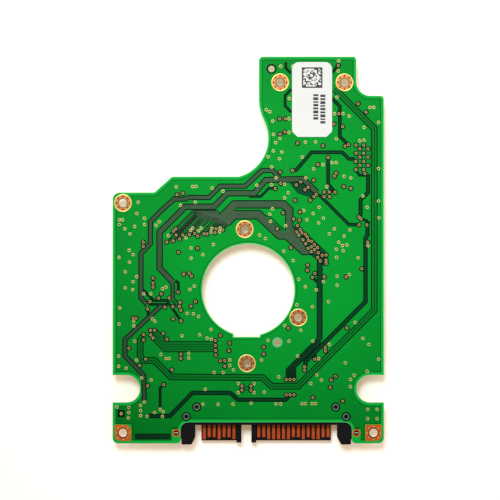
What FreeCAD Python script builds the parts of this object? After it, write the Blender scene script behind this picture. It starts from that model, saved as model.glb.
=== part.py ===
"""Controller board of a 2.5-inch serial-ATA hard disk drive, as an assembly of separate soldered pieces.

Units are millimetres. The origin is the spindle axis at the board's component face, +Z leaves the plain
(trace) face, +Y runs from the plug end to the head-socket tab, and every chip hangs below Z = 0.
"""
import FreeCAD
import Part

import math
import os

V = FreeCAD.Vector
X_AXIS = V(1, 0, 0)
Z_AXIS = V(0, 0, 1)

# ---------------------------------------------------------------- driving dimensions
# Bare board
BOARD_T = 0.8            # laminate thickness
BOARD_HALF_W = 34.65     # half of the width, edge to centreline
BOARD_FOOT_Y = -39.2     # edge at the plug end
BOARD_CORNER_R = 1.4
SHELF_Y = 24.9           # left shoulder beside the actuator magnet
SHELF_CORNER_R = 1.8
MID_TOP_Y = 28.95        # edge left of the tab
SHELF_END_X = -24.0
MID_START_X = -19.5
TAB_LEFT_X = 2.7
TAB_RIGHT_X = 27.6
TAB_TOP_Y = 59.6
STEP_EDGE_Y = 49.6       # step that clears the casting's far screw boss
STEP_INNER_R = 3.6
BAY_AT = (-5.1, 38.8)    # round bay that clears the actuator pivot
BAY_R = 10.2
BAY_BLEND_AT = (14.7, 48.84)
BAY_BLEND_R = 12.0

# Openings in the board
SPINDLE_R = 11.8
KEY_X = (-3.75, 2.95)    # squared foot of the spindle opening
KEY_Y = -12.0
NOTCH_Y = -25.25         # side notches for the casting's near screw bosses
NOTCH_R = 3.5
NOTCH_DEPTH = 7.0
RECESS_Y = -33.8
RECESS_INNER_R = 1.9
RECESS_OUTER_R = 1.0

# Screw and tooling holes
SCREW_R = 1.1
PLATING_T = 0.05         # copper and gold on the walls and lands
LAND_R = 2.25
LAND_VIA_R = 0.17
LAND_VIA_COUNT = 8
ROUND_LANDS = {
    "tab_left": (8.15, 53.0),
    "tab_right": (24.6, 53.0),
    "shelf": (-32.0, 22.2),
    "spindle_top": (-0.9, 15.5),
    "spindle_side": (12.8, -7.05),
    "spindle_foot": (-0.35, -18.75),
}
CORNER_SCREW_X = 32.0
CORNER_SCREW_Y = -36.5
CORNER_LAND_W = 4.1
CORNER_LAND_R = 1.5
TOOLING_R = 0.85
TOOLING_HOLES = [(5.95, 56.45), (7.45, -13.4)]

# Label
LABEL_X = (11.2, 21.4)
LABEL_Y = (39.1, 58.2)
LABEL_T = 0.1
LABEL_TOP_R = 1.8
LABEL_FOOT_CHAMFER = 1.4

# Serial-ATA plug
PLUG_X = 4.6             # plug centre, offset from the board's centreline
PITCH = 1.27
SIGNAL_COUNT = 7
POWER_COUNT = 15
SIGNAL_TO_POWER = 5 * PITCH
CONTACT_HALF_SPAN = ((SIGNAL_COUNT + POWER_COUNT - 2) * PITCH + SIGNAL_TO_POWER) / 2
BLADE_W = 0.76
BLADE_T = 0.15
BLADE_SHORT_Y = -37.8
BLADE_LONG_Y = -38.3
LONG_SIGNAL = (1, 4, 7)
LONG_POWER = (3, 4, 5, 6, 7, 10, 12, 13)
TONGUE_Z = -2.0          # contact side of the tongue
TONGUE_T = 1.23
TONGUE_END_Y = -38.65
TONGUE_MARGIN = 0.72     # tongue past its outermost contact
LEG_MARGIN = 1.9         # tongue past the contact beside its leg
KEY_LEG_W = 1.25
KEY_LEG_H = 1.2
KEY_LEG_OVERHANG = 0.45
SPINE_Y = (-34.5, -32.9)
SPINE_FOOT_Z = -4.0
SPINE_TOP_Z = 0.55       # height of the plug inside the board's recess
GUIDE_GAP = 1.6          # between a tongue's outer end and its guide post
GUIDE_W = 3.45
GUIDE_END_Y = -39.5
GUIDE_LEAD_IN = 0.9
FLANGE_W = 3.05          # flange past the outside of the guide post
FLANGE_Y = (-38.2, -31.0)
FLANGE_H = 1.6
EAR_W = 5.05             # ear inwards from the outside of the guide post
EAR_Y = (-33.0, -28.7)
EAR_H = 1.2
PLUG_GAP = 0.2           # between the plug and the walls of the recess
GUIDE_IN = CONTACT_HALF_SPAN + TONGUE_MARGIN + GUIDE_GAP
GUIDE_OUT = GUIDE_IN + GUIDE_W
RECESS_HALF_W = GUIDE_OUT + PLUG_GAP
BESIDE_EAR = GUIDE_OUT - EAR_W - 1.595   # first capacitor past the ear, from the plug's centre
BESIDE_PEG = GUIDE_OUT - 5.645           # test pads past the inner peg, from the plug's centre
LOCK_OUT = 1.36          # board locks past the outside of the guide post
LOCK_Y = -36.5
LOCK_HOLE_R = 0.65
LOCK_LAND_R = 1.0
PEGS = [(3.9, -29.9), (1.25, -32.35)]  # in from the outside of the guide post, and height
PEG_R = 0.45
PEG_HOLE_R = 0.55
PEG_LAND_R = 0.85
TAIL_W = 0.5
TAIL_T = 0.18
TAIL_END_Y = -31.3

# Spindle-motor connector
MOTOR_AT = (-0.4, -14.5)
MOTOR_PITCH = 1.65
MOTOR_COUNT = 4
FINGER_W = 0.8
FINGER_T = 0.12
FINGER_L = 2.7
FINGER_RISE_DEG = 28.0
FINGER_ROOT_R = 0.15
FINGER_TIP_R = 0.3
ROOT_CLEARANCE = 0.04
ROOT_Y = 1.25            # hinge line, from the connector centre, away from the spindle
SLOT_CLEARANCE = 0.12

# Head socket
HEAD_AT = (16.4, 53.0)
HEAD_COUNT = 12          # contacts in each of two rows
HEAD_PITCH = 0.7
HEAD_WALL = 0.7
HEAD_W = 4.4
HEAD_H = 1.8
HEAD_ISLAND_W = 1.1
HEAD_FLOOR = 0.5
HEAD_CONTACT_W = 0.25
HEAD_CONTACT_T = 0.12

parts = {}


def add(node, solids):
    """Adds solids to a node's group of separate solids."""
    parts.setdefault(node, []).extend(solids if isinstance(solids, list) else [solids])


# ---------------------------------------------------------------- shape helpers
def box(x, y, z):
    """A box from three (low, high) spans."""
    return Part.makeBox(x[1] - x[0], y[1] - y[0], z[1] - z[0], V(x[0], y[0], z[0]))


def centred_box(length, width, z, at=(0.0, 0.0)):
    """A box centred on a point, between two heights."""
    return box((at[0] - length / 2, at[0] + length / 2), (at[1] - width / 2, at[1] + width / 2), z)


def cylinder(x, y, radius, z):
    """An upright cylinder between two heights."""
    return Part.makeCylinder(radius, z[1] - z[0], V(x, y, z[0]), Z_AXIS)


def ring(x, y, outer, inner, z):
    """An upright ring between two heights."""
    return cylinder(x, y, outer, z).cut(cylinder(x, y, inner, z))


def rounded_wire(corners, z):
    """A closed wire through (x, y, radius) corners, each rounded by a tangent arc of its radius."""
    edges = []
    spans = []
    count = len(corners)
    for i in range(count):
        before = V(corners[i - 1][0], corners[i - 1][1], z)
        at = V(corners[i][0], corners[i][1], z)
        after = V(corners[(i + 1) % count][0], corners[(i + 1) % count][1], z)
        radius = corners[i][2]
        into = (before - at).normalize()
        out = (after - at).normalize()
        if radius <= 0:
            spans.append((at, at, None))
            continue
        half = into.getAngle(out) / 2
        reach = radius / math.tan(half)
        start = at + into * reach
        end = at + out * reach
        bisector = (into + out).normalize()
        middle = at + bisector * (radius / math.sin(half) - radius)
        spans.append((start, end, middle))
    for i in range(count):
        start, end, middle = spans[i]
        if middle is not None:
            edges.append(Part.Arc(start, middle, end).toShape())
        leaves_to = spans[(i + 1) % count][0]
        edges.append(Part.LineSegment(end, leaves_to).toShape())
    return Part.Wire(edges)


def rounded_plate(corners, z):
    """A plate with rounded corners between two heights."""
    return Part.Face(rounded_wire(corners, z[0])).extrude(V(0, 0, z[1] - z[0]))


def rectangle(length, width, radius=0.0, at=(0.0, 0.0)):
    """The four corners of a rectangle, for rounded_wire."""
    x, y = at
    return [
        (x - length / 2, y - width / 2, radius),
        (x + length / 2, y - width / 2, radius),
        (x + length / 2, y + width / 2, radius),
        (x - length / 2, y + width / 2, radius),
    ]


def side_profile(points, width):
    """A strip of one width along X whose (y, z) outline is given."""
    corners = [V(-width / 2, y, z) for y, z in points]
    face = Part.Face(Part.makePolygon(corners + corners[:1]))
    return face.extrude(V(width, 0, 0))


def placed(shape, at, turn=0.0):
    """A piece built upwards from Z = 0, mounted on the component face, which looks down."""
    copy = shape.copy()
    copy.rotate(V(0, 0, 0), X_AXIS, 180)
    copy.rotate(V(0, 0, 0), Z_AXIS, turn)
    copy.translate(V(at[0], at[1], 0))
    return copy


def place_all(node, solids, at, turn=0.0):
    """Mounts a list of solids on the component face as pieces of one node."""
    add(node, [placed(s, at, turn) for s in solids])


# ---------------------------------------------------------------- bare board
def board_outline():
    """Corners of the board, anticlockwise from the foot, with the recess for the plug."""
    left, right = PLUG_X - RECESS_HALF_W, PLUG_X + RECESS_HALF_W
    bay_end_x = BAY_AT[0] + math.sqrt(BAY_R ** 2 - (BAY_AT[1] - MID_TOP_Y) ** 2)
    return [
        (-BOARD_HALF_W, BOARD_FOOT_Y, BOARD_CORNER_R),
        (left, BOARD_FOOT_Y, RECESS_OUTER_R),
        (left, RECESS_Y, RECESS_INNER_R),
        (right, RECESS_Y, RECESS_INNER_R),
        (right, BOARD_FOOT_Y, RECESS_OUTER_R),
        (BOARD_HALF_W, BOARD_FOOT_Y, BOARD_CORNER_R),
        (BOARD_HALF_W, STEP_EDGE_Y, 0.9),
        (TAB_RIGHT_X, STEP_EDGE_Y, STEP_INNER_R),
        (TAB_RIGHT_X, TAB_TOP_Y, 0.8),
        (TAB_LEFT_X, TAB_TOP_Y, 1.1),
        (TAB_LEFT_X, BAY_AT[1], 0.0),
        (bay_end_x, MID_TOP_Y, 0.0),
        (MID_START_X, MID_TOP_Y, 1.0),
        (SHELF_END_X, SHELF_Y, 1.0),
        (-BOARD_HALF_W, SHELF_Y, SHELF_CORNER_R),
    ]


def side_notch(side):
    """The round-ended notch in one side edge."""
    past = 1.0
    through = (-past, BOARD_T + past)
    centre_x = BOARD_HALF_W - NOTCH_DEPTH + NOTCH_R
    round_end = cylinder(side * centre_x, NOTCH_Y, NOTCH_R, through)
    span = sorted((side * centre_x, side * (BOARD_HALF_W + past)))
    return round_end.fuse(box(span, (NOTCH_Y - NOTCH_R, NOTCH_Y + NOTCH_R), through))


def bay_cutter(z):
    """The round bay beside the tab, blended into the tab's long edge."""
    reach = BAY_AT[0] - BAY_R - 1
    blend_end_y = BAY_BLEND_AT[1] - BAY_BLEND_R * (BAY_BLEND_AT[1] - BAY_AT[1]) / (BAY_R + BAY_BLEND_R)
    blend_end_x = BAY_AT[0] + BAY_R * (BAY_BLEND_AT[0] - BAY_AT[0]) / (BAY_R + BAY_BLEND_R)
    bay = cylinder(BAY_AT[0], BAY_AT[1], BAY_R, z)
    bay = bay.common(box((reach, -reach), (MID_TOP_Y, BAY_BLEND_AT[1]), z))
    blend = box((BAY_AT[0], blend_end_x), (blend_end_y, BAY_BLEND_AT[1]), z)
    blend = blend.cut(cylinder(BAY_BLEND_AT[0], BAY_BLEND_AT[1], BAY_BLEND_R, z))
    return bay.fuse(blend)


def peg_places():
    """Where the plug's four locating pegs go, in the board's frame."""
    return [(PLUG_X + side * (GUIDE_OUT - inset), y) for side in (-1, 1) for inset, y in PEGS]


def lock_places():
    """Where the plug's two board locks go."""
    return [(PLUG_X + side * (GUIDE_OUT + LOCK_OUT), LOCK_Y) for side in (-1, 1)]


def corner_places():
    return [(side * CORNER_SCREW_X, CORNER_SCREW_Y) for side in (-1, 1)]


def circuit_board():
    """The laminate, with every drilled and routed opening."""
    through = (-1.0, BOARD_T + 1.0)
    board = rounded_plate(board_outline(), (0.0, BOARD_T))
    spindle = cylinder(0, 0, SPINDLE_R, through)
    key = box(KEY_X, (KEY_Y, 0.0), through)
    cutters = [spindle.fuse(key), side_notch(-1), side_notch(1), bay_cutter(through)]
    for x, y in list(ROUND_LANDS.values()) + corner_places():
        cutters.append(cylinder(x, y, SCREW_R + PLATING_T, through))
    for x, y in TOOLING_HOLES:
        cutters.append(cylinder(x, y, TOOLING_R, through))
    for x, y in peg_places():
        cutters.append(cylinder(x, y, PEG_HOLE_R + PLATING_T, through))
    for x, y in lock_places():
        cutters.append(cylinder(x, y, LOCK_HOLE_R + PLATING_T, through))
    add("circuit_board", board.cut(cutters))


def plated_hole(x, y, land, bore):
    """A plated barrel with a round land on each face."""
    barrel = ring(x, y, bore + PLATING_T, bore, (0.0, BOARD_T))
    top = ring(x, y, land, bore, (BOARD_T, BOARD_T + PLATING_T))
    foot = ring(x, y, land, bore, (-PLATING_T, 0.0))
    return barrel.fuse([top, foot]).removeSplitter()


def land_vias(x, y):
    """Small stitching holes around a screw land."""
    circle = (LAND_R + SCREW_R) / 2
    holes = []
    for i in range(LAND_VIA_COUNT):
        angle = 2 * math.pi * i / LAND_VIA_COUNT
        at = (x + circle * math.cos(angle), y + circle * math.sin(angle))
        holes.append(cylinder(at[0], at[1], LAND_VIA_R, (BOARD_T, BOARD_T + 1)))
        holes.append(cylinder(at[0], at[1], LAND_VIA_R, (-1, 0)))
    return holes


def screw_lands():
    for x, y in ROUND_LANDS.values():
        add("screw_lands", plated_hole(x, y, LAND_R, SCREW_R).cut(land_vias(x, y)))
    for x, y in corner_places():
        square = rectangle(CORNER_LAND_W, CORNER_LAND_W, 0.15, (x, y))
        for corner in (0, 2) if x < 0 else (1,):
            square[corner] = square[corner][:2] + (CORNER_LAND_R,)
        bore = cylinder(x, y, SCREW_R, (-1, BOARD_T + 1))
        barrel = cylinder(x, y, SCREW_R + PLATING_T, (0.0, BOARD_T))
        top = rounded_plate(square, (BOARD_T, BOARD_T + PLATING_T))
        foot = rounded_plate(square, (-PLATING_T, 0.0))
        land = barrel.fuse([top, foot]).cut([bore] + land_vias(x, y)).removeSplitter()
        add("corner_screw_lands", land)


def plug_lands():
    for x, y in lock_places():
        add("board_lock_lands", plated_hole(x, y, LOCK_LAND_R, LOCK_HOLE_R))
    for x, y in peg_places():
        add("peg_hole_lands", plated_hole(x, y, PEG_LAND_R, PEG_HOLE_R))


def label():
    """Paper label with two round and two clipped corners."""
    (x0, x1), (y0, y1) = LABEL_X, LABEL_Y
    c = LABEL_FOOT_CHAMFER
    corners = [
        (x0 + c, y0, 0.3), (x1 - c, y0, 0.3), (x1, y0 + c, 0.3),
        (x1, y1, LABEL_TOP_R), (x0, y1, LABEL_TOP_R), (x0, y0 + c, 0.3),
    ]
    add("label", rounded_plate(corners, (BOARD_T, BOARD_T + LABEL_T)))


# ---------------------------------------------------------------- serial-ATA plug
def plug_contact(x, end_y):
    """One contact: blade on the tongue, riser in the spine and solder tail on the board."""
    half_blade, half_tail = BLADE_W / 2, TAIL_W / 2
    blade_z = (TONGUE_Z - BLADE_T / 3, TONGUE_Z + BLADE_T * 2 / 3)
    riser_y = (-33.7, -33.7 + TAIL_T)
    blade = box((x - half_blade, x + half_blade), (end_y, riser_y[1]), blade_z)
    riser = box((x - half_tail, x + half_tail), riser_y, (blade_z[0], -PLATING_T))
    tail = box((x - half_tail, x + half_tail), (riser_y[0], TAIL_END_Y), (-TAIL_T - PLATING_T, -PLATING_T))
    return blade.fuse([riser, tail]).removeSplitter()


def contact_places():
    """(number, x) of the signal contacts, then of the power contacts."""
    signal = [(i + 1, PLUG_X - CONTACT_HALF_SPAN + i * PITCH) for i in range(SIGNAL_COUNT)]
    first = signal[-1][1] + SIGNAL_TO_POWER
    power = [(i + 1, first + i * PITCH) for i in range(POWER_COUNT)]
    return signal, power


def plug_contacts():
    signal, power = contact_places()
    for number, x in signal:
        add("sata_signal_contacts", plug_contact(x, BLADE_LONG_Y if number in LONG_SIGNAL else BLADE_SHORT_Y))
    for number, x in power:
        add("sata_power_contacts", plug_contact(x, BLADE_LONG_Y if number in LONG_POWER else BLADE_SHORT_Y))


def contact_pads():
    """Copper pads on the component face under the plug's solder tails."""
    signal, power = contact_places()
    for _, x in signal + power:
        pad = box((x - TAIL_W / 2 - 0.1, x + TAIL_W / 2 + 0.1), (-32.8, TAIL_END_Y + 0.4), (-PLATING_T, 0.0))
        add("sata_solder_pads", pad)


def tongue(places, leg_at_end):
    """One half of the plug's tongue with the leg that makes its L."""
    first, last = places[0][1], places[-1][1]
    x0 = first - (TONGUE_MARGIN if leg_at_end else LEG_MARGIN)
    x1 = last + (LEG_MARGIN if leg_at_end else TONGUE_MARGIN)
    blade = box((x0, x1), (TONGUE_END_Y, SPINE_Y[0]), (TONGUE_Z - TONGUE_T, TONGUE_Z))
    leg_x = (x1 - KEY_LEG_W, x1) if leg_at_end else (x0, x0 + KEY_LEG_W)
    leg_z = (TONGUE_Z - TONGUE_T, TONGUE_Z + KEY_LEG_H)
    return blade.fuse(box(leg_x, (TONGUE_END_Y - KEY_LEG_OVERHANG, SPINE_Y[0]), leg_z))


def plug_side(side):
    """Guide post, flange and ear at one end of the plug."""
    def span(near, far):
        return sorted((PLUG_X + side * near, PLUG_X + side * far))

    inner = PLUG_X + side * GUIDE_IN
    outer = PLUG_X + side * GUIDE_OUT
    lead = side * GUIDE_LEAD_IN
    post = rounded_plate(
        [(inner, SPINE_Y[0], 0), (inner, GUIDE_END_Y + 2 * GUIDE_LEAD_IN, 0.4),
         (inner + lead, GUIDE_END_Y, 0.3), (outer, GUIDE_END_Y, 0.3), (outer, SPINE_Y[0], 0)],
        (SPINE_FOOT_Z, SPINE_TOP_Z))
    slot_depth = 0.9
    slot = box(sorted((inner, inner + side * slot_depth)), (GUIDE_END_Y - 1, SPINE_Y[0] - 0.8),
               (TONGUE_Z - TONGUE_T, TONGUE_Z))
    flange = box(span(GUIDE_OUT - 0.75, GUIDE_OUT + FLANGE_W), FLANGE_Y, (-FLANGE_H, -PLATING_T))
    ear = box(span(GUIDE_OUT - EAR_W, GUIDE_OUT + 0.15), EAR_Y, (-EAR_H, -PLATING_T))
    pegs = [cylinder(PLUG_X + side * (GUIDE_OUT - inset), y, PEG_R, (-EAR_H / 2, BOARD_T - 0.1)) for inset, y in PEGS]
    return [post.cut(slot), flange, ear] + pegs


def plug_housing():
    """Moulded housing: spine, two tongues, two guide posts, flanges, ears and pegs."""
    reach = (PLUG_X - GUIDE_OUT, PLUG_X + GUIDE_OUT)
    signal, power = contact_places()
    under = box(reach, SPINE_Y, (SPINE_FOOT_Z, -PLATING_T))
    rise = box(reach, (SPINE_Y[0], RECESS_Y - PLUG_GAP), (-PLATING_T, SPINE_TOP_Z))
    tongues = [tongue(signal, True), tongue(power, False)]
    body = under.fuse([rise] + tongues + plug_side(-1) + plug_side(1)).removeSplitter()
    taken = parts["sata_signal_contacts"] + parts["sata_power_contacts"] + parts["sata_board_locks"]
    add("sata_housing", body.cut([recess_surround()] + taken))


def recess_surround():
    """Everything above the board's component face that lies closer to the recess wall than the gap."""
    past = 5.0
    left = PLUG_X - RECESS_HALF_W + PLUG_GAP
    right = PLUG_X + RECESS_HALF_W - PLUG_GAP
    top = RECESS_Y - PLUG_GAP
    room = [
        (left, BOARD_FOOT_Y - past, 0), (right, BOARD_FOOT_Y - past, 0),
        (right, top, RECESS_INNER_R), (left, top, RECESS_INNER_R),
    ]
    z = (-PLATING_T, SPINE_TOP_Z + 1)
    around_room = box((left - past, right + past), (BOARD_FOOT_Y - past, RECESS_Y), z)
    return around_room.cut(rounded_plate(room, z))


def board_locks():
    """Forked metal clips that anchor the plug in two plated holes."""
    for x, y in lock_places():
        stem = box((x - 0.45, x + 0.45), (y - 0.12, y + 0.12), (-1.2, 0.1))
        prongs = [box(sorted((x + s * 0.2, x + s * 0.45)), (y - 0.12, y + 0.12), (0.1, BOARD_T + 0.35))
                  for s in (-1, 1)]
        add("sata_board_locks", stem.fuse(prongs).removeSplitter())


# ---------------------------------------------------------------- packages
def moulded_body(length, width, z, draft=0.12, dimple=None):
    """Moulded chip body with drafted sides that meet at a parting line, and a pin-one dimple."""
    middle = (z[0] + z[1]) / 2
    wires = [rounded_wire(rectangle(length - 2 * d, width - 2 * d), h)
             for d, h in ((draft, z[0]), (0.0, middle), (draft, z[1]))]
    body = Part.makeLoft(wires, True, True)
    if dimple:
        at = (-length / 2 + dimple * 2.2, -width / 2 + dimple * 2.2)
        body = body.cut(cylinder(at[0], at[1], dimple, (z[1] - 0.08, z[1] + 1)))
    return body


def gull_lead(shoulder, foot, height, width, thickness, foot_length):
    """A bent lead that leaves the body at Y = shoulder and stands on the board out to Y = foot."""
    t = thickness
    heel = foot - foot_length
    points = [
        (shoulder, height), (heel - t, height), (heel, t), (foot, t),
        (foot, 0.0), (heel - t * 0.8, 0.0), (heel - 1.8 * t, height - t), (shoulder, height - t),
    ]
    return side_profile(points, width)


def lead_row(count, pitch, lead):
    """Copies of one lead side by side along X."""
    row = []
    for i in range(count):
        copy = lead.copy()
        copy.translate(V((i - (count - 1) / 2) * pitch, 0, 0))
        row.append(copy)
    return row


def turned(solids, angle):
    """Copies of solids turned about the Z axis."""
    copies = []
    for s in solids:
        copy = s.copy()
        copy.rotate(V(0, 0, 0), Z_AXIS, angle)
        copies.append(copy)
    return copies


def quad_package(node, at, turn, size, height, pitch, per_side, lead_w, span):
    """Quad flat package with gull-wing leads on four sides."""
    standoff = 0.1
    place_all(node + "_body", [moulded_body(size, size, (standoff, height), dimple=size * 0.045)], at, turn)
    lead = gull_lead(size / 2, span / 2, height * 0.58, lead_w, 0.13, 0.6)
    row = lead_row(per_side, pitch, lead)
    for quarter in range(4):
        place_all(node + "_leads", turned(row, 90 * quarter), at, turn)


def dual_package(node, at, turn, length, width, height, pitch, per_side, lead_w, span):
    """Small-outline package with gull-wing leads on two sides."""
    standoff = 0.08
    place_all(node + "_body", [moulded_body(length, width, (standoff, height), dimple=0.45)], at, turn)
    lead = gull_lead(width / 2, span / 2, height * 0.55, lead_w, 0.13, 0.5)
    row = lead_row(per_side, pitch, lead)
    for half in range(2):
        place_all(node + "_leads", turned(row, 180 * half), at, turn)


def chip_piece(node, at, turn, length, width, height, end):
    """Two-terminal chip: a ceramic body between two metal end caps."""
    body = centred_box(length - 2 * end, width, (0.0, height))
    caps = []
    for side in (-1, 1):
        cap = centred_box(end, width + 0.04, (0.0, height + 0.02), (side * (length - end) / 2, 0))
        caps.append(cap)
    place_all(node + "_bodies", [body], at, turn)
    place_all(node + "_ends", caps, at, turn)


def chip_array(at, turn):
    """Four resistors in one ceramic strip."""
    length, width, height, end = 3.2, 1.0, 0.5, 0.25
    place_all("resistor_array_bodies", [centred_box(length, width, (0.0, height))], at, turn)
    for i in range(4):
        x = (i - 1.5) * 0.8
        pads = [centred_box(0.5, end, (0.0, height), (x, side * (width + end) / 2)) for side in (-1, 1)]
        place_all("resistor_array_ends", pads, at, turn)


def folded_tab_piece(node, at, turn, length, width, height, tab_w):
    """Moulded block with a metal tab folded under each end."""
    t = 0.15
    body = moulded_body(length, width, (t, height))
    tabs = []
    for side in (-1, 1):
        under = box(sorted((side * (length / 2 + t), side * (length / 2 - 0.9))), (-tab_w / 2, tab_w / 2), (0.0, t))
        up = box(sorted((side * (length / 2 + t), side * length / 2)), (-tab_w / 2, tab_w / 2), (t, height * 0.5))
        tabs.append(under.fuse(up).removeSplitter())
    place_all(node + "_bodies", [body], at, turn)
    place_all(node + "_tabs", tabs, at, turn)


def transistor(at, turn):
    """Three-lead transistor."""
    length, width, height, span = 2.9, 1.3, 1.0, 2.4
    place_all("transistor_bodies", [moulded_body(length, width, (0.08, height))], at, turn)
    lead = gull_lead(width / 2, span / 2, height * 0.55, 0.4, 0.12, 0.3)
    pair = lead_row(2, 1.9, lead)
    place_all("transistor_leads", pair + turned([lead], 180), at, turn)


def regulator(at, turn):
    """Voltage regulator with three leads and one wide heat tab."""
    length, width, height, span = 6.5, 3.5, 1.6, 7.0
    place_all("regulator_body", [moulded_body(length, width, (0.08, height))], at, turn)
    lead = gull_lead(width / 2, span / 2, height * 0.5, 0.7, 0.25, 0.8)
    tab = gull_lead(width / 2, span / 2, height * 0.5, 3.0, 0.25, 0.8)
    place_all("regulator_leads", lead_row(3, 2.3, lead) + turned([tab], 180), at, turn)


def power_inductor(at, turn):
    """Shielded power inductor: a ferrite block with clipped corners and two terminals."""
    size, height, clip = 4.0, 1.6, 0.7
    half = size / 2
    corners = []
    for sx, sy in ((-1, -1), (1, -1), (1, 1), (-1, 1)):
        near = (sx * half, sy * (half - clip), 0.1)
        far = (sx * (half - clip), sy * half, 0.1)
        corners += [near, far] if sx * sy > 0 else [far, near]
    shell = rounded_plate(corners, (0.15, height))
    well = cylinder(0, 0, 1.45, (height - 0.25, height + 1))
    core = cylinder(0, 0, 1.25, (height - 0.25, height))
    place_all("power_inductor_shells", [shell.cut(well)], at, turn)
    place_all("power_inductor_cores", [core], at, turn)
    feet = [centred_box(0.9, 2.2, (0.0, 0.15), (side * (half - 0.45), 0)) for side in (-1, 1)]
    place_all("power_inductor_terminals", feet, at, turn)


def crystal(at, turn):
    """Quartz crystal: ceramic base and a seam-welded metal lid."""
    place_all("crystal_base", [rounded_plate(rectangle(3.2, 2.5, 0.2), (0.0, 0.4))], at, turn)
    place_all("crystal_lid", [rounded_plate(rectangle(2.9, 2.2, 0.35), (0.4, 0.75))], at, turn)


# ---------------------------------------------------------------- head socket
def head_socket():
    """Two-row board-to-board socket that takes the head amplifier's flex connector."""
    run = (HEAD_COUNT - 1) * HEAD_PITCH
    length = run + 2 * HEAD_WALL + 1.2
    shell = rounded_plate(rectangle(length, HEAD_W, 0.25), (PLATING_T, HEAD_H))
    well = centred_box(length - 2 * HEAD_WALL, HEAD_W - 2 * HEAD_WALL, (HEAD_FLOOR, HEAD_H + 1))
    island = centred_box(run + 0.6, HEAD_ISLAND_W, (HEAD_FLOOR, HEAD_H - 0.25))
    contacts = []
    for side in (-1, 1):
        for i in range(HEAD_COUNT):
            contacts.append(head_contact(side, (i - (HEAD_COUNT - 1) / 2) * HEAD_PITCH))
    body = shell.cut(well).fuse(island).cut(contacts)
    place_all("head_socket_housing", [body], HEAD_AT)
    place_all("head_socket_contacts", contacts, HEAD_AT)


def head_contact(side, x):
    """One U-shaped contact: foot outside the wall, strip under the floor, leaf on the inner wall."""
    t = HEAD_CONTACT_T
    outer, inner = HEAD_W / 2, HEAD_W / 2 - HEAD_WALL
    span = (x - HEAD_CONTACT_W / 2, x + HEAD_CONTACT_W / 2)
    strip = box(span, sorted((side * (outer + 0.6), side * (inner - t))), (PLATING_T, PLATING_T + t))
    leaf = box(span, sorted((side * inner, side * (inner - t))), (PLATING_T, HEAD_H - 0.2))
    return strip.fuse(leaf).removeSplitter()


# ---------------------------------------------------------------- spindle-motor connector
def motor_finger():
    """Spring finger: a round root on the hinge line, a rising strip and a curled tip."""
    root_z = FINGER_ROOT_R + ROOT_CLEARANCE + FINGER_T
    low = V(-FINGER_W / 2, 0, 0)
    root = Part.makeCylinder(FINGER_ROOT_R, FINGER_W, low, X_AXIS)
    strip = box((-FINGER_W / 2, FINGER_W / 2), (-FINGER_L, 0), (-FINGER_T / 2, FINGER_T / 2))
    tip_centre = V(-FINGER_W / 2, -FINGER_L, -FINGER_TIP_R + FINGER_T / 2)
    outer = Part.makeCylinder(FINGER_TIP_R, FINGER_W, tip_centre, X_AXIS)
    hollow = Part.makeCylinder(FINGER_TIP_R - FINGER_T, FINGER_W, tip_centre, X_AXIS)
    beyond = box((-FINGER_W, FINGER_W), (-FINGER_L, 0), (-2, FINGER_T / 2 - FINGER_TIP_R * 0.2))
    upper = box((-FINGER_W, FINGER_W), (-FINGER_L, 0), (-2, 2))
    curl = outer.cut([hollow, beyond.fuse(upper)])
    finger = root.fuse([strip, curl]).removeSplitter()
    finger.rotate(V(0, 0, 0), X_AXIS, -FINGER_RISE_DEG)
    finger.translate(V(0, ROOT_Y, root_z))
    return finger


def motor_base():
    """Fixed half of one contact: a strip soldered to the board, rolled round the finger's root."""
    inner = FINGER_ROOT_R + ROOT_CLEARANCE
    outer = inner + FINGER_T
    low = V(-FINGER_W / 2, ROOT_Y, outer)
    roll = Part.makeCylinder(outer, FINGER_W, low, X_AXIS).cut(Part.makeCylinder(inner, FINGER_W, low, X_AXIS))
    mouth = box((-FINGER_W, FINGER_W), (ROOT_Y - outer - 1, ROOT_Y + outer * 0.2), (FINGER_T, 2 * outer + 1))
    strip = box((-FINGER_W / 2, FINGER_W / 2), (-1.95, ROOT_Y), (0.0, FINGER_T))
    return roll.cut(mouth).fuse(strip).removeSplitter()


def motor_places():
    """The X of each motor contact, in the connector's frame."""
    return [(i - (MOTOR_COUNT - 1) / 2) * MOTOR_PITCH for i in range(MOTOR_COUNT)]


def motor_connector():
    """Four-way compression connector that presses on the spindle motor's flex."""
    height, back, front = 1.15, 1.95, -1.5
    width = (MOTOR_COUNT - 1) * MOTOR_PITCH + FINGER_W + 1.3
    shell = rounded_plate(rectangle(width, back - front, 0.3, (0, (back + front) / 2)), (0.0, height))
    slot_w = FINGER_W + 2 * SLOT_CLEARANCE
    slot_end = ROOT_Y + FINGER_ROOT_R + ROOT_CLEARANCE + FINGER_T + 0.02
    slots = [centred_box(slot_w, slot_end - front + 2, (-1, height + 1), (x, (slot_end + front - 2) / 2))
             for x in motor_places()]
    bar = box((-width / 2, width / 2), (front, front + 0.45), (FINGER_T, 0.55))
    place_all("motor_connector_housing", [shell.cut(slots).fuse(bar).removeSplitter()], MOTOR_AT)
    for number, x in enumerate(motor_places(), 1):
        base = motor_base()
        base.translate(V(x, 0, 0))
        finger = motor_finger()
        finger.translate(V(x, 0, 0))
        place_all("motor_contact_bases", [base], MOTOR_AT)
        place_all(f"motor_contact_finger_{number}", [finger], MOTOR_AT)


# ---------------------------------------------------------------- component placement
def around(centre, reach, offsets, turn):
    """Places beside the four sides of a square package, each with the turn of its side."""
    found = []
    for side in range(4):
        angle = math.radians(turn + 90 * side)
        across = (math.cos(angle), math.sin(angle))
        along = (-across[1], across[0])
        for s in offsets:
            at = (centre[0] + reach * across[0] + s * along[0], centre[1] + reach * across[1] + s * along[1])
            found.append((at, turn + 90 * side + 90))
    return found


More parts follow.
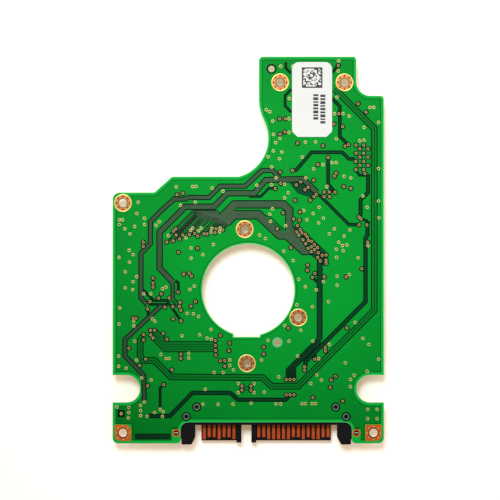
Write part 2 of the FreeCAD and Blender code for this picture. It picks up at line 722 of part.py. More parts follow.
def row(start, step, count):
    """Evenly spaced places on a line."""
    return [(start[0] + step[0] * i, start[1] + step[1] * i) for i in range(count)]


def small_capacitor(at, turn=0.0):
    chip_piece("decoupling_capacitor", at, turn, 1.0, 0.5, 0.5, 0.25)


def medium_capacitor(at, turn=0.0):
    chip_piece("filter_capacitor", at, turn, 1.6, 0.8, 0.8, 0.35)


def bulk_capacitor(at, turn=0.0):
    chip_piece("bulk_capacitor", at, turn, 3.2, 1.6, 1.3, 0.55)


def resistor(at, turn=0.0):
    chip_piece("chip_resistor", at, turn, 1.0, 0.5, 0.35, 0.22)


def ferrite_bead(at, turn=0.0):
    chip_piece("ferrite_bead", at, turn, 2.0, 1.25, 0.9, 0.4)


def shock_sensor(at, turn=0.0):
    chip_piece("shock_sensor", at, turn, 3.2, 1.9, 1.1, 0.5)


def tantalum(at, turn=0.0):
    folded_tab_piece("tantalum_capacitor", at, turn, 3.5, 2.8, 1.9, 2.2)


def surge_diode(at, turn=0.0):
    folded_tab_piece("surge_diode", at, turn, 4.3, 2.6, 1.9, 1.5)


CONTROLLER_AT = (20.0, 17.5)
DRIVER_AT = (-22.5, -1.0)
MEMORY_AT = (-14.6, 18.4)
FLASH_AT = (14.0, 37.0)


def integrated_circuits():
    quad_package("main_controller", CONTROLLER_AT, 45, 14.0, 1.45, 0.4, 32, 0.18, 16.0)
    quad_package("motor_driver", DRIVER_AT, 0, 10.0, 1.4, 0.5, 16, 0.22, 12.0)
    dual_package("memory_chip", MEMORY_AT, 0, 22.22, 10.16, 1.1, 0.8, 27, 0.3, 11.76)
    dual_package("flash_chip", FLASH_AT, 0, 4.9, 3.9, 1.5, 1.27, 4, 0.4, 6.0)
    regulator((25.5, -8.5), 90)


def controller_support():
    for at, turn in around(CONTROLLER_AT, 9.1, (-5.0, -2.5, 0.0, 2.5, 5.0), 45):
        small_capacitor(at, turn)
    for at, turn in around(CONTROLLER_AT, 10.4, (-3.6, -1.2, 1.2, 3.6), 45):
        resistor(at, turn)
    crystal((6.6, 24.2), 0)
    for at in row((4.0, 27.2), (2.2, 0.0), 3):
        small_capacitor(at)
    chip_array((31.4, 29.0), 90)
    chip_array((28.6, 31.2), 90)
    chip_array((25.8, 33.4), 90)


def memory_support():
    for at in row((-18.0, 26.2), (3.0, 0.0), 6):
        small_capacitor(at)
    chip_array((-29.2, 16.5), 90)
    chip_array((-31.8, 13.0), 90)
    for at in row((-32.6, 8.6), (0.0, -2.2), 4):
        resistor(at)


def driver_support():
    for at, turn in around(DRIVER_AT, 7.4, (-4.2, -1.4, 1.4, 4.2), 0):
        medium_capacitor(at, turn)
    for at in row((-32.2, -1.8), (0.0, -2.4), 5):
        resistor(at)
    for at in row((-26.0, 8.7), (2.8, 0.0), 4):
        ferrite_bead(at) if at[0] > -19 else resistor(at)
    power_inductor((-24.6, -13.6), 0)
    power_inductor((-18.6, -16.4), 0)
    for at in ((-30.4, -17.0), (-13.4, -12.9), (-12.6, -17.2)):
        bulk_capacitor(at, 90)
    transistor((-9.3, -17.3), 90)
    transistor((-9.3, -21.6), 90)


def power_entry():
    surge_diode((8.0, -26.4), 0)
    surge_diode((14.6, -26.4), 0)
    tantalum((21.0, -20.6), 90)
    tantalum((16.6, -20.6), 90)
    bulk_capacitor((12.2, -20.4), 90)
    bulk_capacitor((9.2, -20.4), 90)
    ferrite_bead((5.6, -20.2), 90)
    ferrite_bead((24.6, -26.0), 90)
    for at in row((31.2, -14.6), (0.0, 4.2), 3):
        transistor(at, 0)
    for at in row((30.3, -2.4), (0.0, 2.2), 4):
        resistor(at)
    for at in row((17.0, -14.6), (0.0, 2.0), 5):
        medium_capacitor(at)
    for at in row((19.9, -1.8), (0.0, 1.8), 3):
        medium_capacitor(at)
    for at in row((25.6, 0.6), (0.0, 1.6), 3):
        small_capacitor(at)


def signal_entry():
    for at in row((PLUG_X - BESIDE_EAR, -28.4), (1.4, 0.0), 5):
        small_capacitor(at, 90)
    for at in row((-21.6, -27.4), (1.8, 0.0), 4):
        resistor(at, 90)
    chip_array((-22.4, -22.2), 0)
    chip_array((-16.6, -22.2), 0)
    tantalum((-4.4, -25.0), 0)
    bulk_capacitor((1.2, -24.6), 90)


def tab_support():
    for at in row((8.8, 46.8), (1.9, 0.0), 7):
        resistor(at, 90)
    for at in row((9.8, 43.6), (1.9, 0.0), 6):
        small_capacitor(at, 90)
    shock_sensor((29.4, 45.2), 0)
    shock_sensor((30.6, 40.0), 45)
    chip_array((25.2, 45.0), 90)
    chip_array((22.4, 41.6), 90)
    medium_capacitor((8.2, 33.6), 90)
    for at in row((20.0, 34.2), (0.0, 3.2), 2):
        medium_capacitor(at, 90)
    for at in row((24.4, 38.4), (2.1, 0.0), 3):
        small_capacitor(at, 90)
    for at in row((6.4, 58.0), (3.2, 0.0), 6):
        small_capacitor(at)


TEST_PADS = (
    row((-31.2, 3.5), (0.0, -2.6), 2) + row((-30.0, -10.2), (0.0, -2.4), 2)
    + row((-27.8, -31.5), (2.2, 0.0), 3) + row((-29.5, -21.4), (3.2, 0.0), 2)
    + row((31.8, 34.6), (0.0, -2.4), 2) + row((PLUG_X + BESIDE_PEG, -29.6), (0.0, 2.2), 2)
    + row((29.6, -32.2), (2.4, 0.0), 2) + row((-31.4, -30.4), (0.0, -2.0), 2)
    + row((-9.4, 27.6), (2.4, 0.0), 3) + row((21.0, 56.4), (1.8, 0.0), 2)
)


def test_pads():
    radius = 0.5
    for x, y in TEST_PADS:
        add("test_pads", cylinder(x, y, radius, (-PLATING_T, 0.0)))


def build():
    circuit_board()
    screw_lands()
    plug_lands()
    label()
    plug_contacts()
    contact_pads()
    board_locks()
    plug_housing()
    integrated_circuits()
    head_socket()
    motor_connector()
    controller_support()
    memory_support()
    driver_support()
    power_entry()
    signal_entry()
    tab_support()
    test_pads()


def export():
    os.makedirs("parts", exist_ok=True)
    for node, solids in sorted(parts.items()):
        shape = Part.makeCompound(solids)
        shape.exportStep(os.path.join("parts", node + ".step"))
        print(f"{node}: {len(shape.Solids)} solids, {shape.Volume:.2f} mm3, valid {shape.isValid()}")


build()
export()
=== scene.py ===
"""Finishes the hard disk drive's controller board: solder mask, traces, vias, label, solder and a stage."""
import math

import bmesh
import bpy
from bpy.props import FloatProperty, FloatVectorProperty, PointerProperty
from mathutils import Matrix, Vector


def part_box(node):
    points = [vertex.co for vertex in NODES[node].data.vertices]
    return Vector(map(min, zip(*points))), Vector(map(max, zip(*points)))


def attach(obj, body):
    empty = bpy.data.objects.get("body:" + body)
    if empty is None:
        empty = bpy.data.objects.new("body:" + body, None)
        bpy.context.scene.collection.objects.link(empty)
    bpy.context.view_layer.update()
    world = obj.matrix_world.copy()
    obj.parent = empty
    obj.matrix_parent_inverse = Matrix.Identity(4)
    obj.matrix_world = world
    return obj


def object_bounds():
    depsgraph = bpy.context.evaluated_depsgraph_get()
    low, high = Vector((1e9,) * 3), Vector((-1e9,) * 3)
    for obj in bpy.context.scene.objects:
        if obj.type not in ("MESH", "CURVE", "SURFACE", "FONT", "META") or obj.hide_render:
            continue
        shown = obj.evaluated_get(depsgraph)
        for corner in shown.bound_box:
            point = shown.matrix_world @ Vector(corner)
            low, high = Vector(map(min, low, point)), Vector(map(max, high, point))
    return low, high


bl_info = {
    "name": "Drive controller board",
    "version": (1, 0, 0),
    "blender": (4, 5, 0),
    "location": "3D View > Sidebar > Board",
    "description": "Builds the surface detail of a hard disk drive controller board",
    "category": "Object",
}

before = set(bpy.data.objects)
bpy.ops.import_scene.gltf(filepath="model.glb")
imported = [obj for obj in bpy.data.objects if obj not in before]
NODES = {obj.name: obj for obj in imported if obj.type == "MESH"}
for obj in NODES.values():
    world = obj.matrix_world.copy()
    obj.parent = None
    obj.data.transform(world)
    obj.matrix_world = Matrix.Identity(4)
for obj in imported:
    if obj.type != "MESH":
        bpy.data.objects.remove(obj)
CAD_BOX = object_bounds()
BODY = "board"
MM = 0.001

BOARD_LOW, BOARD_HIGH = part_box("circuit_board")
FACE_Z = BOARD_HIGH[2] / MM
BACK_Z = BOARD_LOW[2] / MM


# ---------------------------------------------------------------- sizes and colours a user would change
def length_mm(name, description, default):
    return FloatProperty(name=name, description=description, default=default, min=0.0, soft_max=50.0)


def colour(name, description, default):
    return FloatVectorProperty(name=name, description=description, default=default, size=3,
                               min=0.0, max=1.0, subtype="COLOR")


class BoardSizes(bpy.types.PropertyGroup):
    """Sizes of the board's surface detail, in millimetres"""
    edge_margin: length_mm("Edge margin", "Bare band between the board's edge and the copper, in mm", 0.80)
    hole_margin: length_mm("Hole margin", "Bare band round the spindle opening, in mm", 0.50)
    copper_height: length_mm("Copper height", "Height of the copper under the mask, in mm", 0.03)
    via_ring: length_mm("Via ring", "Outer radius of a via's ring, in mm", 0.41)
    via_hole: length_mm("Via hole", "Radius of a via's hole, in mm", 0.22)
    via_clearance: length_mm("Via clearance", "Radius of the bare ring round an isolated via, in mm", 0.69)
    pad_margin: length_mm("Pad margin", "Pad past the foot of a lead or end cap, in mm", 0.12)


class BoardColours(bpy.types.PropertyGroup):
    """Colours of the board's finishes"""
    mask: colour("Mask over laminate", "Solder mask where there is no copper", (0.0015, 0.32, 0.036))
    # Partly the thin mask where it ends at the cut edge, partly a painted highlight along that edge.
    cut_rim_and_highlight: colour("Milled edge", "Rim where the mask ends at the cut edge", (0.09, 0.62, 0.20))
    pour: colour("Mask over copper", "Solder mask where copper lies under it", (0.0006, 0.245, 0.022))
    gap: colour("Etched gap", "Mask in the gap beside a trace", (0.0008, 0.014, 0.005))
    rim: colour("Copper edge", "Mask where it thins over the edge of the copper", (0.0006, 0.118, 0.010))
    trace_grey: colour("Dense traces", "Mask over closely spaced traces", (0.046, 0.096, 0.050))
    trace_dark: colour("Deep traces", "Mask over single traces", (0.0015, 0.050, 0.016))
    trace_green: colour("Open traces", "Mask over separate traces", (0.001, 0.165, 0.017))
    gold: colour("Gold", "Plated screw lands", (0.52, 0.20, 0.050))
    via_gold: colour("Via gold", "Plated via rings", (0.45, 0.44, 0.145))
    via_bare: colour("Via copper", "Rings of isolated vias", (0.43, 0.29, 0.12))
    corner_gold: colour("Corner gold", "Plated corner lands and lock holes", (0.74, 0.135, 0.014))
    land_rim: colour("Land rim", "Worn, bright rim of a screw land", (0.72, 0.52, 0.18))
    tin: colour("Tin", "Solder and tinned ends", (0.72, 0.72, 0.70))
    laminate: colour("Laminate", "Sawn edge of the board", (0.20, 0.42, 0.10))
    paper: colour("Paper", "Label", (0.66, 0.66, 0.65))
    ink: colour("Ink", "Print on the label", (0.02, 0.02, 0.022))
    nylon: colour("Black nylon", "Plug and sockets", (0.0045, 0.004, 0.0045))
    epoxy: colour("Epoxy", "Moulded chips", (0.012, 0.012, 0.0135))


class StageSettings(bpy.types.PropertyGroup):
    """Floor, lights and camera"""
    view_width: FloatProperty(name="View width", description="Width of the view at the board", default=0.1277,
                              min=0.02, unit="LENGTH")
    camera_height: FloatProperty(name="Camera height", description="Height above the board", default=0.62,
                                 min=0.1, unit="LENGTH")
    key_power: FloatProperty(name="Key light", description="Power of the main light", default=11.0, min=0.0)
    fill_strength: FloatProperty(name="Fill light", description="Strength of the surrounding light",
                                 default=0.85, min=0.0)


def sizes():
    return bpy.context.scene.board_sizes


def colours():
    return bpy.context.scene.board_colours


# ---------------------------------------------------------------- shader maths
class Val:
    """A node socket that can be used in an expression."""

    def __init__(self, maker, socket):
        self.maker = maker
        self.socket = socket

    def _math(self, operation, *others, clamp=False):
        values = {i: v for i, v in enumerate((self,) + others)}
        node = self.maker.node("ShaderNodeMath", {"operation": operation, "use_clamp": clamp}, values)
        return Val(self.maker, node.outputs[0])

    def __add__(self, other):
        return self._math("ADD", other)

    __radd__ = __add__

    def __sub__(self, other):
        return self._math("SUBTRACT", other)

    def __rsub__(self, other):
        node = self.maker.node("ShaderNodeMath", {"operation": "SUBTRACT"}, {0: other, 1: self})
        return Val(self.maker, node.outputs[0])

    def __mul__(self, other):
        return self._math("MULTIPLY", other)

    __rmul__ = __mul__

    def __gt__(self, other):
        return self._math("GREATER_THAN", other)

    def sine(self):
        return self._math("SINE")

    def absolute(self):
        return self._math("ABSOLUTE")

    def clamped(self):
        return self._math("ADD", 0.0, clamp=True)


class Maker:
    """Builds one material from expressions."""

    def __init__(self, name, world=None):
        self.material = world or bpy.data.materials.new(name)
        self.material.use_nodes = True
        self.tree = self.material.node_tree
        self.shader = next(n for n in self.tree.nodes if n.type in ("BSDF_PRINCIPLED", "BACKGROUND"))

    def node(self, kind, settings=None, values=None):
        made = self.tree.nodes.new(kind)
        for key, value in (settings or {}).items():
            setattr(made, key, value)
        for key, value in (values or {}).items():
            self.feed(made.inputs[key], value)
        return made

    def feed(self, socket, value):
        if isinstance(value, Val):
            self.tree.links.new(value.socket, socket)
        elif hasattr(socket.default_value, "__len__") and hasattr(value, "__len__") and len(value) == 3:
            room = len(socket.default_value)
            socket.default_value = tuple(value) + (1.0,) * (room - 3)
        else:
            socket.default_value = value

    def place(self):
        """Object coordinates in millimetres, as a vector."""
        where = self.node("ShaderNodeTexCoord")
        scaled = self.node("ShaderNodeVectorMath", {"operation": "SCALE"},
                           {0: Val(self, where.outputs["Object"]), "Scale": 1 / MM})
        return Val(self, scaled.outputs[0])

    def axes(self, vector):
        split = self.node("ShaderNodeSeparateXYZ", None, {0: vector})
        return [Val(self, split.outputs[i]) for i in range(3)]

    def noise(self, vector, scale, detail=3.0, roughness=0.55):
        made = self.node("ShaderNodeTexNoise", None,
                         {"Vector": vector, "Scale": scale, "Detail": detail, "Roughness": roughness})
        return Val(self, made.outputs[0])

    def cells(self, vector, scale):
        made = self.node("ShaderNodeTexVoronoi", None, {"Vector": vector, "Scale": scale})
        return Val(self, made.outputs["Distance"])

    def stretched(self, vector, factors):
        made = self.node("ShaderNodeVectorMath", {"operation": "MULTIPLY"}, {0: vector, 1: factors})
        return Val(self, made.outputs[0])

    def distance_from(self, vector, centre):
        """Distance in millimetres from a point."""
        made = self.node("ShaderNodeVectorMath", {"operation": "DISTANCE"}, {0: vector, 1: centre})
        return Val(self, made.outputs["Value"])

    def facing_up(self):
        """How far a surface faces along +Z, from the object's own normal."""
        where = self.node("ShaderNodeNewGeometry")
        split = self.node("ShaderNodeSeparateXYZ", None, {0: Val(self, where.outputs["True Normal"])})
        return Val(self, split.outputs[2])

    def mix(self, factor, low, high):
        made = self.node("ShaderNodeMix", {"data_type": "RGBA"}, {0: factor, 6: low, 7: high})
        return Val(self, made.outputs[2])

    def bump(self, height, strength, distance_mm):
        made = self.node("ShaderNodeBump", None,
                         {"Strength": strength, "Distance": distance_mm * MM, "Height": height})
        self.feed(self.shader.inputs["Normal"], Val(self, made.outputs[0]))

    def finish(self, base, roughness, metallic=0.0, coat=0.0, coat_roughness=0.1, specular=0.5):
        self.feed(self.shader.inputs["Base Color"], base)
        self.feed(self.shader.inputs["Roughness"], roughness)
        self.feed(self.shader.inputs["Metallic"], metallic)
        self.feed(self.shader.inputs["Coat Weight"], coat)
        self.shader.inputs["Coat Roughness"].default_value = coat_roughness
        self.shader.inputs["Specular IOR Level"].default_value = specular
        return self.material


def shade(base, factor):
    """A darker or lighter copy of a colour."""
    return tuple(min(1.0, c * factor) for c in base)


FINISHES = {}


def material(name, recipe):
    """Fetches one of this file's own finishes, or builds it once."""
    if name not in FINISHES:
        FINISHES[name] = recipe("finish_" + name)
    return FINISHES[name]


def mask_finish(name, tone, *look):
    """A kept solder mask finish of one tone."""
    return material(name, lambda n: mask_over(n, tone, *look))


def plated_finish(name, tone, *look):
    """A kept plated finish of one tone."""
    return material(name, lambda n: plated(n, tone, *look))


# A painted pool of light: the mask darkens slowly away from one place: how fast, from where in mm, and to
# what share of its tone.
PAINTED_LIGHT_FALLOFF, PAINTED_LIGHT_CENTRE, PAINTED_LIGHT_EDGE_SHARE = 1.4e-4, (8.0, 22.0, 0.0), 0.25
WEAVE_PITCH = 0.46   # glass cloth under the mask
PLY_PITCH = 0.11     # glass plies at the sawn edge

# Tones that only one or two pieces use.
# Brown that paints the plated barrels together with the shade down the holes, for the vias, the stitching
# holes and the barrel rings.
BORE_SHADE_BROWN = (0.050, 0.014, 0.004)
AGED_TIN = (0.16, 0.30, 0.22)
# Bare laminate with painted light shining through it, for the collar round the test hole.
BARE_LAMINATE_LIT_THROUGH = (0.13, 0.42, 0.20)
BETWEEN_TRACES = (0.024, 0.054, 0.027)
HATCHED_MASK = (0.010, 0.11, 0.045)
CONTACT_GOLD = (0.52, 0.075, 0.010)
DULL_TIN = (0.05, 0.09, 0.065)
IVORY = (0.62, 0.54, 0.36)
NICKEL = (0.62, 0.60, 0.56)
PALE_CERAMIC = (0.55, 0.50, 0.42)
TAN_CERAMIC = (0.24, 0.13, 0.065)
BLACK_CERAMIC = (0.015, 0.015, 0.018)
FERRITE = (0.045, 0.045, 0.05)
AMBER = (0.62, 0.33, 0.04)


def mask_over(name, tone, contrast=0.14, rough=0.34):
    """Solder mask: glossy ink with a faint glass-weave relief, slow changes of tone and a painted pool of
    light that darkens it away from one place.
    """
    m = Maker(name)
    at = m.place()
    x, y, _ = m.axes(at)
    slow = m.noise(at, 0.06, 2.0)
    fine = m.noise(at, 2.4, 4.0)
    grain = m.noise(at, 14.0, 2.0)
    turn = 2 * math.pi / WEAVE_PITCH
    weave = (x * turn).sine() * (y * turn).sine()
    # Painted pool of light: the tone falls off with the distance from one place on the board.
    middle = m.distance_from(at, PAINTED_LIGHT_CENTRE)
    painted_light_pool = 1 - (middle * middle * PAINTED_LIGHT_FALLOFF).clamped()
    tone_shift = (slow * 0.6 + fine * 0.3 + grain * 0.25 - 0.42) * (1.0 + contrast) + 0.5
    base = m.mix(tone_shift.clamped(), shade(tone, 1 - contrast * 1.6), shade(tone, 1 + contrast * 1.6))
    base = m.mix(painted_light_pool, shade(tone, PAINTED_LIGHT_EDGE_SHARE), base)
    m.bump(weave * 0.15 + grain * 0.35 + fine * 0.6, 0.2, 0.010)
    return m.finish(base, (fine * 0.16 + grain * 0.10 + (rough - 0.12)).clamped(), specular=0.035)


def laminate_board(name):
    """Board: mask on both faces, sawn glass-fibre laminate on the edges."""
    c = colours()
    m = Maker(name)
    at = m.place()
    _, _, z = m.axes(at)
    flat = (m.facing_up().absolute() > 0.5)
    fine = m.noise(at, 2.4, 4.0)
    slow = m.noise(at, 0.07, 2.0)
    face = m.mix((fine * 0.5 + slow * 0.5), shade(c.mask, 0.86), shade(c.mask, 1.14))
    plies = (z * (2 * math.pi / PLY_PITCH)).sine() * 0.5 + 0.5
    fibres = m.noise(m.stretched(at, (6.0, 6.0, 40.0)), 1.0, 3.0)
    sawn = m.mix((plies * 0.5 + fibres * 0.5).clamped(), shade(c.laminate, 0.65), shade(c.laminate, 1.35))
    m.bump(fine * 0.4 + fibres * 0.6, 0.3, 0.015)
    rough = flat * -0.38 + 0.72 + fine * 0.1
    return m.finish(m.mix(flat, sawn, face), rough.clamped(), specular=0.06)


def plated(name, tone, rough, tarnish):
    """Plated metal with a soft grain and darker, tarnished patches."""
    m = Maker(name)
    at = m.place()
    patches = m.noise(at, 0.9, 4.0, 0.6)
    grain = m.noise(at, 9.0, 3.0)
    base = m.mix((patches * 1.3 - 0.15).clamped(), shade(tone, 1 - tarnish), shade(tone, 1 + tarnish * 0.5))
    m.bump(grain * 0.6 + patches * 0.4, 0.35, 0.012)
    return m.finish(base, (grain * 0.2 + patches * 0.15 + rough - 0.15).clamped(), 0.65)


def solder(name):
    """Bright tin solder with a frosty grain."""
    m = Maker(name)
    at = m.place()
    frost = m.cells(at, 6.0)
    grain = m.noise(at, 12.0, 4.0)
    tin = colours().tin
    base = m.mix(grain, shade(tin, 0.75), shade(tin, 1.2))
    m.bump(frost * 0.5 + grain * 0.5, 0.4, 0.015)
    return m.finish(base, (grain * 0.25 + 0.22).clamped(), 0.8)


def moulded(name, tone, rough, grain_scale, speckle):
    """Moulded plastic or epoxy: fine eroded grain, faint flow marks and lighter patches of wear."""
    m = Maker(name)
    at = m.place()
    grain = m.noise(at, grain_scale, 5.0, 0.65)
    flow = m.noise(m.stretched(at, (0.5, 1.6, 1.0)), 0.5, 3.0)
    wear = (grain * 0.6 + flow * 0.6 - 0.1).clamped()
    base = m.mix(wear, shade(tone, 1 - speckle), shade(tone, 1 + speckle * 2))
    m.bump(grain * 0.8 + flow * 0.2, 0.25, 0.012)
    return m.finish(base, (grain * 0.18 + rough - 0.08).clamped(), specular=0.06)


def ceramic(name, tone, rough=0.42):
    """Fired ceramic with small pits and a slight glaze."""
    m = Maker(name)
    at = m.place()
    pits = m.cells(at, 8.0)
    grain = m.noise(at, 5.0, 4.0)
    base = m.mix((grain * 0.7 + pits * 0.4).clamped(), shade(tone, 0.72), shade(tone, 1.22))
    m.bump(pits * 0.6 + grain * 0.4, 0.3, 0.015)
    return m.finish(base, (grain * 0.2 + rough - 0.1).clamped(), 0.0, 0.2, 0.2)


def paper(name):
    """Coated label paper with a faint fibre."""
    m = Maker(name)
    at = m.place()
    fibre = m.noise(m.stretched(at, (1.0, 3.0, 1.0)), 4.0, 5.0, 0.7)
    cloud = m.noise(at, 0.25, 2.0)
    tone = colours().paper
    base = m.mix((fibre * 0.5 + cloud * 0.5).clamped(), shade(tone, 0.93), shade(tone, 1.05))
    m.bump(fibre, 0.25, 0.01)
    return m.finish(base, (fibre * 0.15 + 0.5).clamped())


def ink(name):
    """Thermal print: nearly black, slightly broken up."""
    m = Maker(name)
    at = m.place()
    speck = m.noise(at, 7.0, 4.0)
    tone = colours().ink
    base = m.mix((speck * 1.4 - 0.3).clamped(), tone, shade(tone, 5.0))
    m.bump(speck, 0.2, 0.005)
    return m.finish(base, (speck * 0.2 + 0.55).clamped(), specular=0.08)


# ---------------------------------------------------------------- mesh helpers
def put(name, data):
    """Adds an object to the scene."""
    made = bpy.data.objects.new(name, data)
    bpy.context.scene.collection.objects.link(made)
    return made


def new_piece(name, mesh_builder, made_of):
    """A mesh piece that rides on the board and takes the finish it is given."""
    bm = bmesh.new()
    mesh_builder(bm)
    bmesh.ops.recalc_face_normals(bm, faces=bm.faces)
    mesh = bpy.data.meshes.new(name)
    bm.to_mesh(mesh)
    bm.free()
    piece = put(name, mesh)
    piece.data.materials.append(made_of)
    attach(piece, BODY)
    return piece


def skirt(bm, low, high):
    """The side faces between two loops of the same number of corners."""
    for i in range(len(low)):
        j = (i + 1) % len(low)
        bm.faces.new((low[i], low[j], high[j], high[i]))


def prism(bm, outline, z0, z1):
    """A closed prism over an outline in millimetres, between two heights."""
    low = [bm.verts.new((x * MM, y * MM, z0 * MM)) for x, y in outline]
    high = [bm.verts.new((x * MM, y * MM, z1 * MM)) for x, y in outline]
    bm.faces.new(list(reversed(low)))
    bm.faces.new(high)
    skirt(bm, low, high)


def circle(x, y, radius, steps=20, phase=0.0):
    """Points of a circle, anticlockwise."""
    turns = [2 * math.pi * i / steps + phase for i in range(steps)]
    return [(x + radius * math.cos(a), y + radius * math.sin(a)) for a in turns]


def annulus(bm, x, y, outer, inner, z0, z1, steps=20, crown=0.0):
    """A closed ring; crown lifts its middle so that it looks like plated metal."""
    middle = (outer + inner) / 2
    profile = [(outer, z0), (outer, z1), (middle, z1 + crown), (inner, z1), (inner, z0)]
    loops = [[bm.verts.new((px * MM, py * MM, z * MM)) for px, py in circle(x, y, r, steps)]
             for r, z in profile]
    for near, far in zip(loops, loops[1:] + loops[:1]):
        skirt(bm, near, far)


def offset_line(points, distance):
    """An open line moved sideways, mitred at its bends."""
    moved = []
    for i, point in enumerate(points):
        at = Vector(point)
        before = (at - Vector(points[i - 1])).normalized() if i > 0 else None
        after = (Vector(points[i + 1]) - at).normalized() if i + 1 < len(points) else None
        first, second = before or after, after or before
        sideways = Vector((-first.y - second.y, first.x + second.x)).normalized()
        normal = Vector((-first.y, first.x))
        stretch = 1 / max(0.4, sideways.dot(normal))
        moved.append(tuple(at + sideways * distance * stretch))
    return moved


def ribbon(bm, points, width, z0, z1, shift=0.0):
    """A closed strip of one width along a line."""
    left = offset_line(points, shift + width / 2)
    right = offset_line(points, shift - width / 2)
    prism(bm, left + list(reversed(right)), z0, z1)


def rounded(corners, inset=0.0):
    """A closed outline through (x, y, radius) corners, pulled inwards by inset."""
    count = len(corners)
    points = []
    area = sum(corners[i - 1][0] * corners[i][1] - corners[i][0] * corners[i - 1][1] for i in range(count))
    turn = 1 if area > 0 else -1
    for i in range(count):
        here = Vector(corners[i][:2])
        into = (here - Vector(corners[i - 1][:2])).normalized()
        out = (Vector(corners[(i + 1) % count][:2]) - here).normalized()
        bend = (into.x * out.y - into.y * out.x) * turn
        n_in = Vector((-into.y, into.x)) * turn
        n_out = Vector((-out.y, out.x)) * turn
        cosine = max(-0.999, min(0.999, into.dot(out)))
        corner = here + (n_in + n_out) * (inset / (1 + cosine))
        radius = corners[i][2] - inset if bend > 0 else corners[i][2] + inset if corners[i][2] > 0 else 0.0
        if radius <= 0.02:
            points.append(tuple(corner))
            continue
        reach = radius * math.tan(math.acos(cosine) / 2)
        start = corner - into * reach
        centre = start + (n_in if bend > 0 else -n_in) * radius
        a0 = math.atan2(start.y - centre.y, start.x - centre.x)
        sweep = math.acos(cosine) * (1 if bend * turn > 0 else -1)
        steps = max(3, int(abs(sweep) * (3 + radius)))
        for k in range(steps + 1):
            a = a0 + sweep * k / steps
            points.append((centre.x + radius * math.cos(a), centre.y + radius * math.sin(a)))
    return points


def arc(x, y, radius, start_deg, end_deg, steps=28):
    """Points of an arc."""
    turns = [math.radians(start_deg + (end_deg - start_deg) * i / steps) for i in range(steps + 1)]
    return [(x + radius * math.cos(a), y + radius * math.sin(a)) for a in turns]


def flat_sheet(name, outlines, z0, z1, made_of):
    """A thin sheet with holes: the first outline is its edge, the others are holes."""
    curve = bpy.data.curves.new(name, "CURVE")
    curve.dimensions = "2D"
    curve.fill_mode = "BOTH"
    curve.extrude = (z1 - z0) / 2 * MM
    for outline in outlines:
        spline = curve.splines.new("POLY")
        spline.points.add(len(outline) - 1)
        for point, (x, y) in zip(spline.points, outline):
            point.co = (x * MM, y * MM, 0.0, 1.0)
        spline.use_cyclic_u = True
    carrier = put(name + "_line", curve)
    bpy.context.view_layer.update()
    mesh = bpy.data.meshes.new_from_object(carrier.evaluated_get(bpy.context.evaluated_depsgraph_get()))
    bpy.data.objects.remove(carrier)
    bpy.data.curves.remove(curve)
    for vertex in mesh.vertices:
        vertex.co.z += (z0 + z1) / 2 * MM
    mesh.name = name
    piece = put(name, mesh)
    mesh.materials.clear()
    mesh.materials.append(made_of)
    bm = bmesh.new()
    bm.from_mesh(mesh)
    bmesh.ops.remove_doubles(bm, verts=bm.verts, dist=1e-6)
    bmesh.ops.recalc_face_normals(bm, faces=bm.faces)
    bm.to_mesh(mesh)
    bm.free()
    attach(piece, BODY)
    return piece


# ---------------------------------------------------------------- board plan, in millimetres
LANDS = [(8.15, 53.0), (24.6, 53.0), (-32.0, 22.2), (-0.9, 15.5), (12.8, -7.05), (-0.35, -18.75)]
CORNERS = [(-32.0, -36.5), (32.0, -36.5)]   # middles of the square corner lands
TOOLING = [(5.95, 56.45), (7.45, -13.4)]
LOCKS = [(-18.4, -36.5), (27.6, -36.5)]   # board-lock holes beside the plug's recess
PEGS = [(-13.15, -29.9), (-15.8, -32.35), (22.35, -29.9), (25.0, -32.35)]
EDGE_X, FOOT_Y = 34.65, -39.2
SPINDLE_R = 11.8
SPINDLE_KEY = (-3.75, 2.95, -12.0)
NOTCH_Y, NOTCH_R, NOTCH_X = -25.25, 3.5, 31.15
BAY, BAY_R = (-5.1, 38.8), 10.2
BLEND, BLEND_R = (14.7, 48.84), 12.0
TAB_LEFT, TAB_RIGHT, TAB_TOP, STEP_Y = 2.7, 27.6, 59.6, 49.6
MID_TOP, SHELF_Y = 28.95, 24.9
RECESS_LEFT, RECESS_RIGHT, RECESS_Y = -17.25, 26.45, -33.8
# How the copper steps in round the middles of the corner lands and the lock holes.
CORNER_STEP = 1.45
LOCK_STEP_X, LOCK_STEP_Y = 0.4, -36.1


def board_line(inset):
    """The board's true outline, pulled inwards."""
    return board_edge(inset, False)


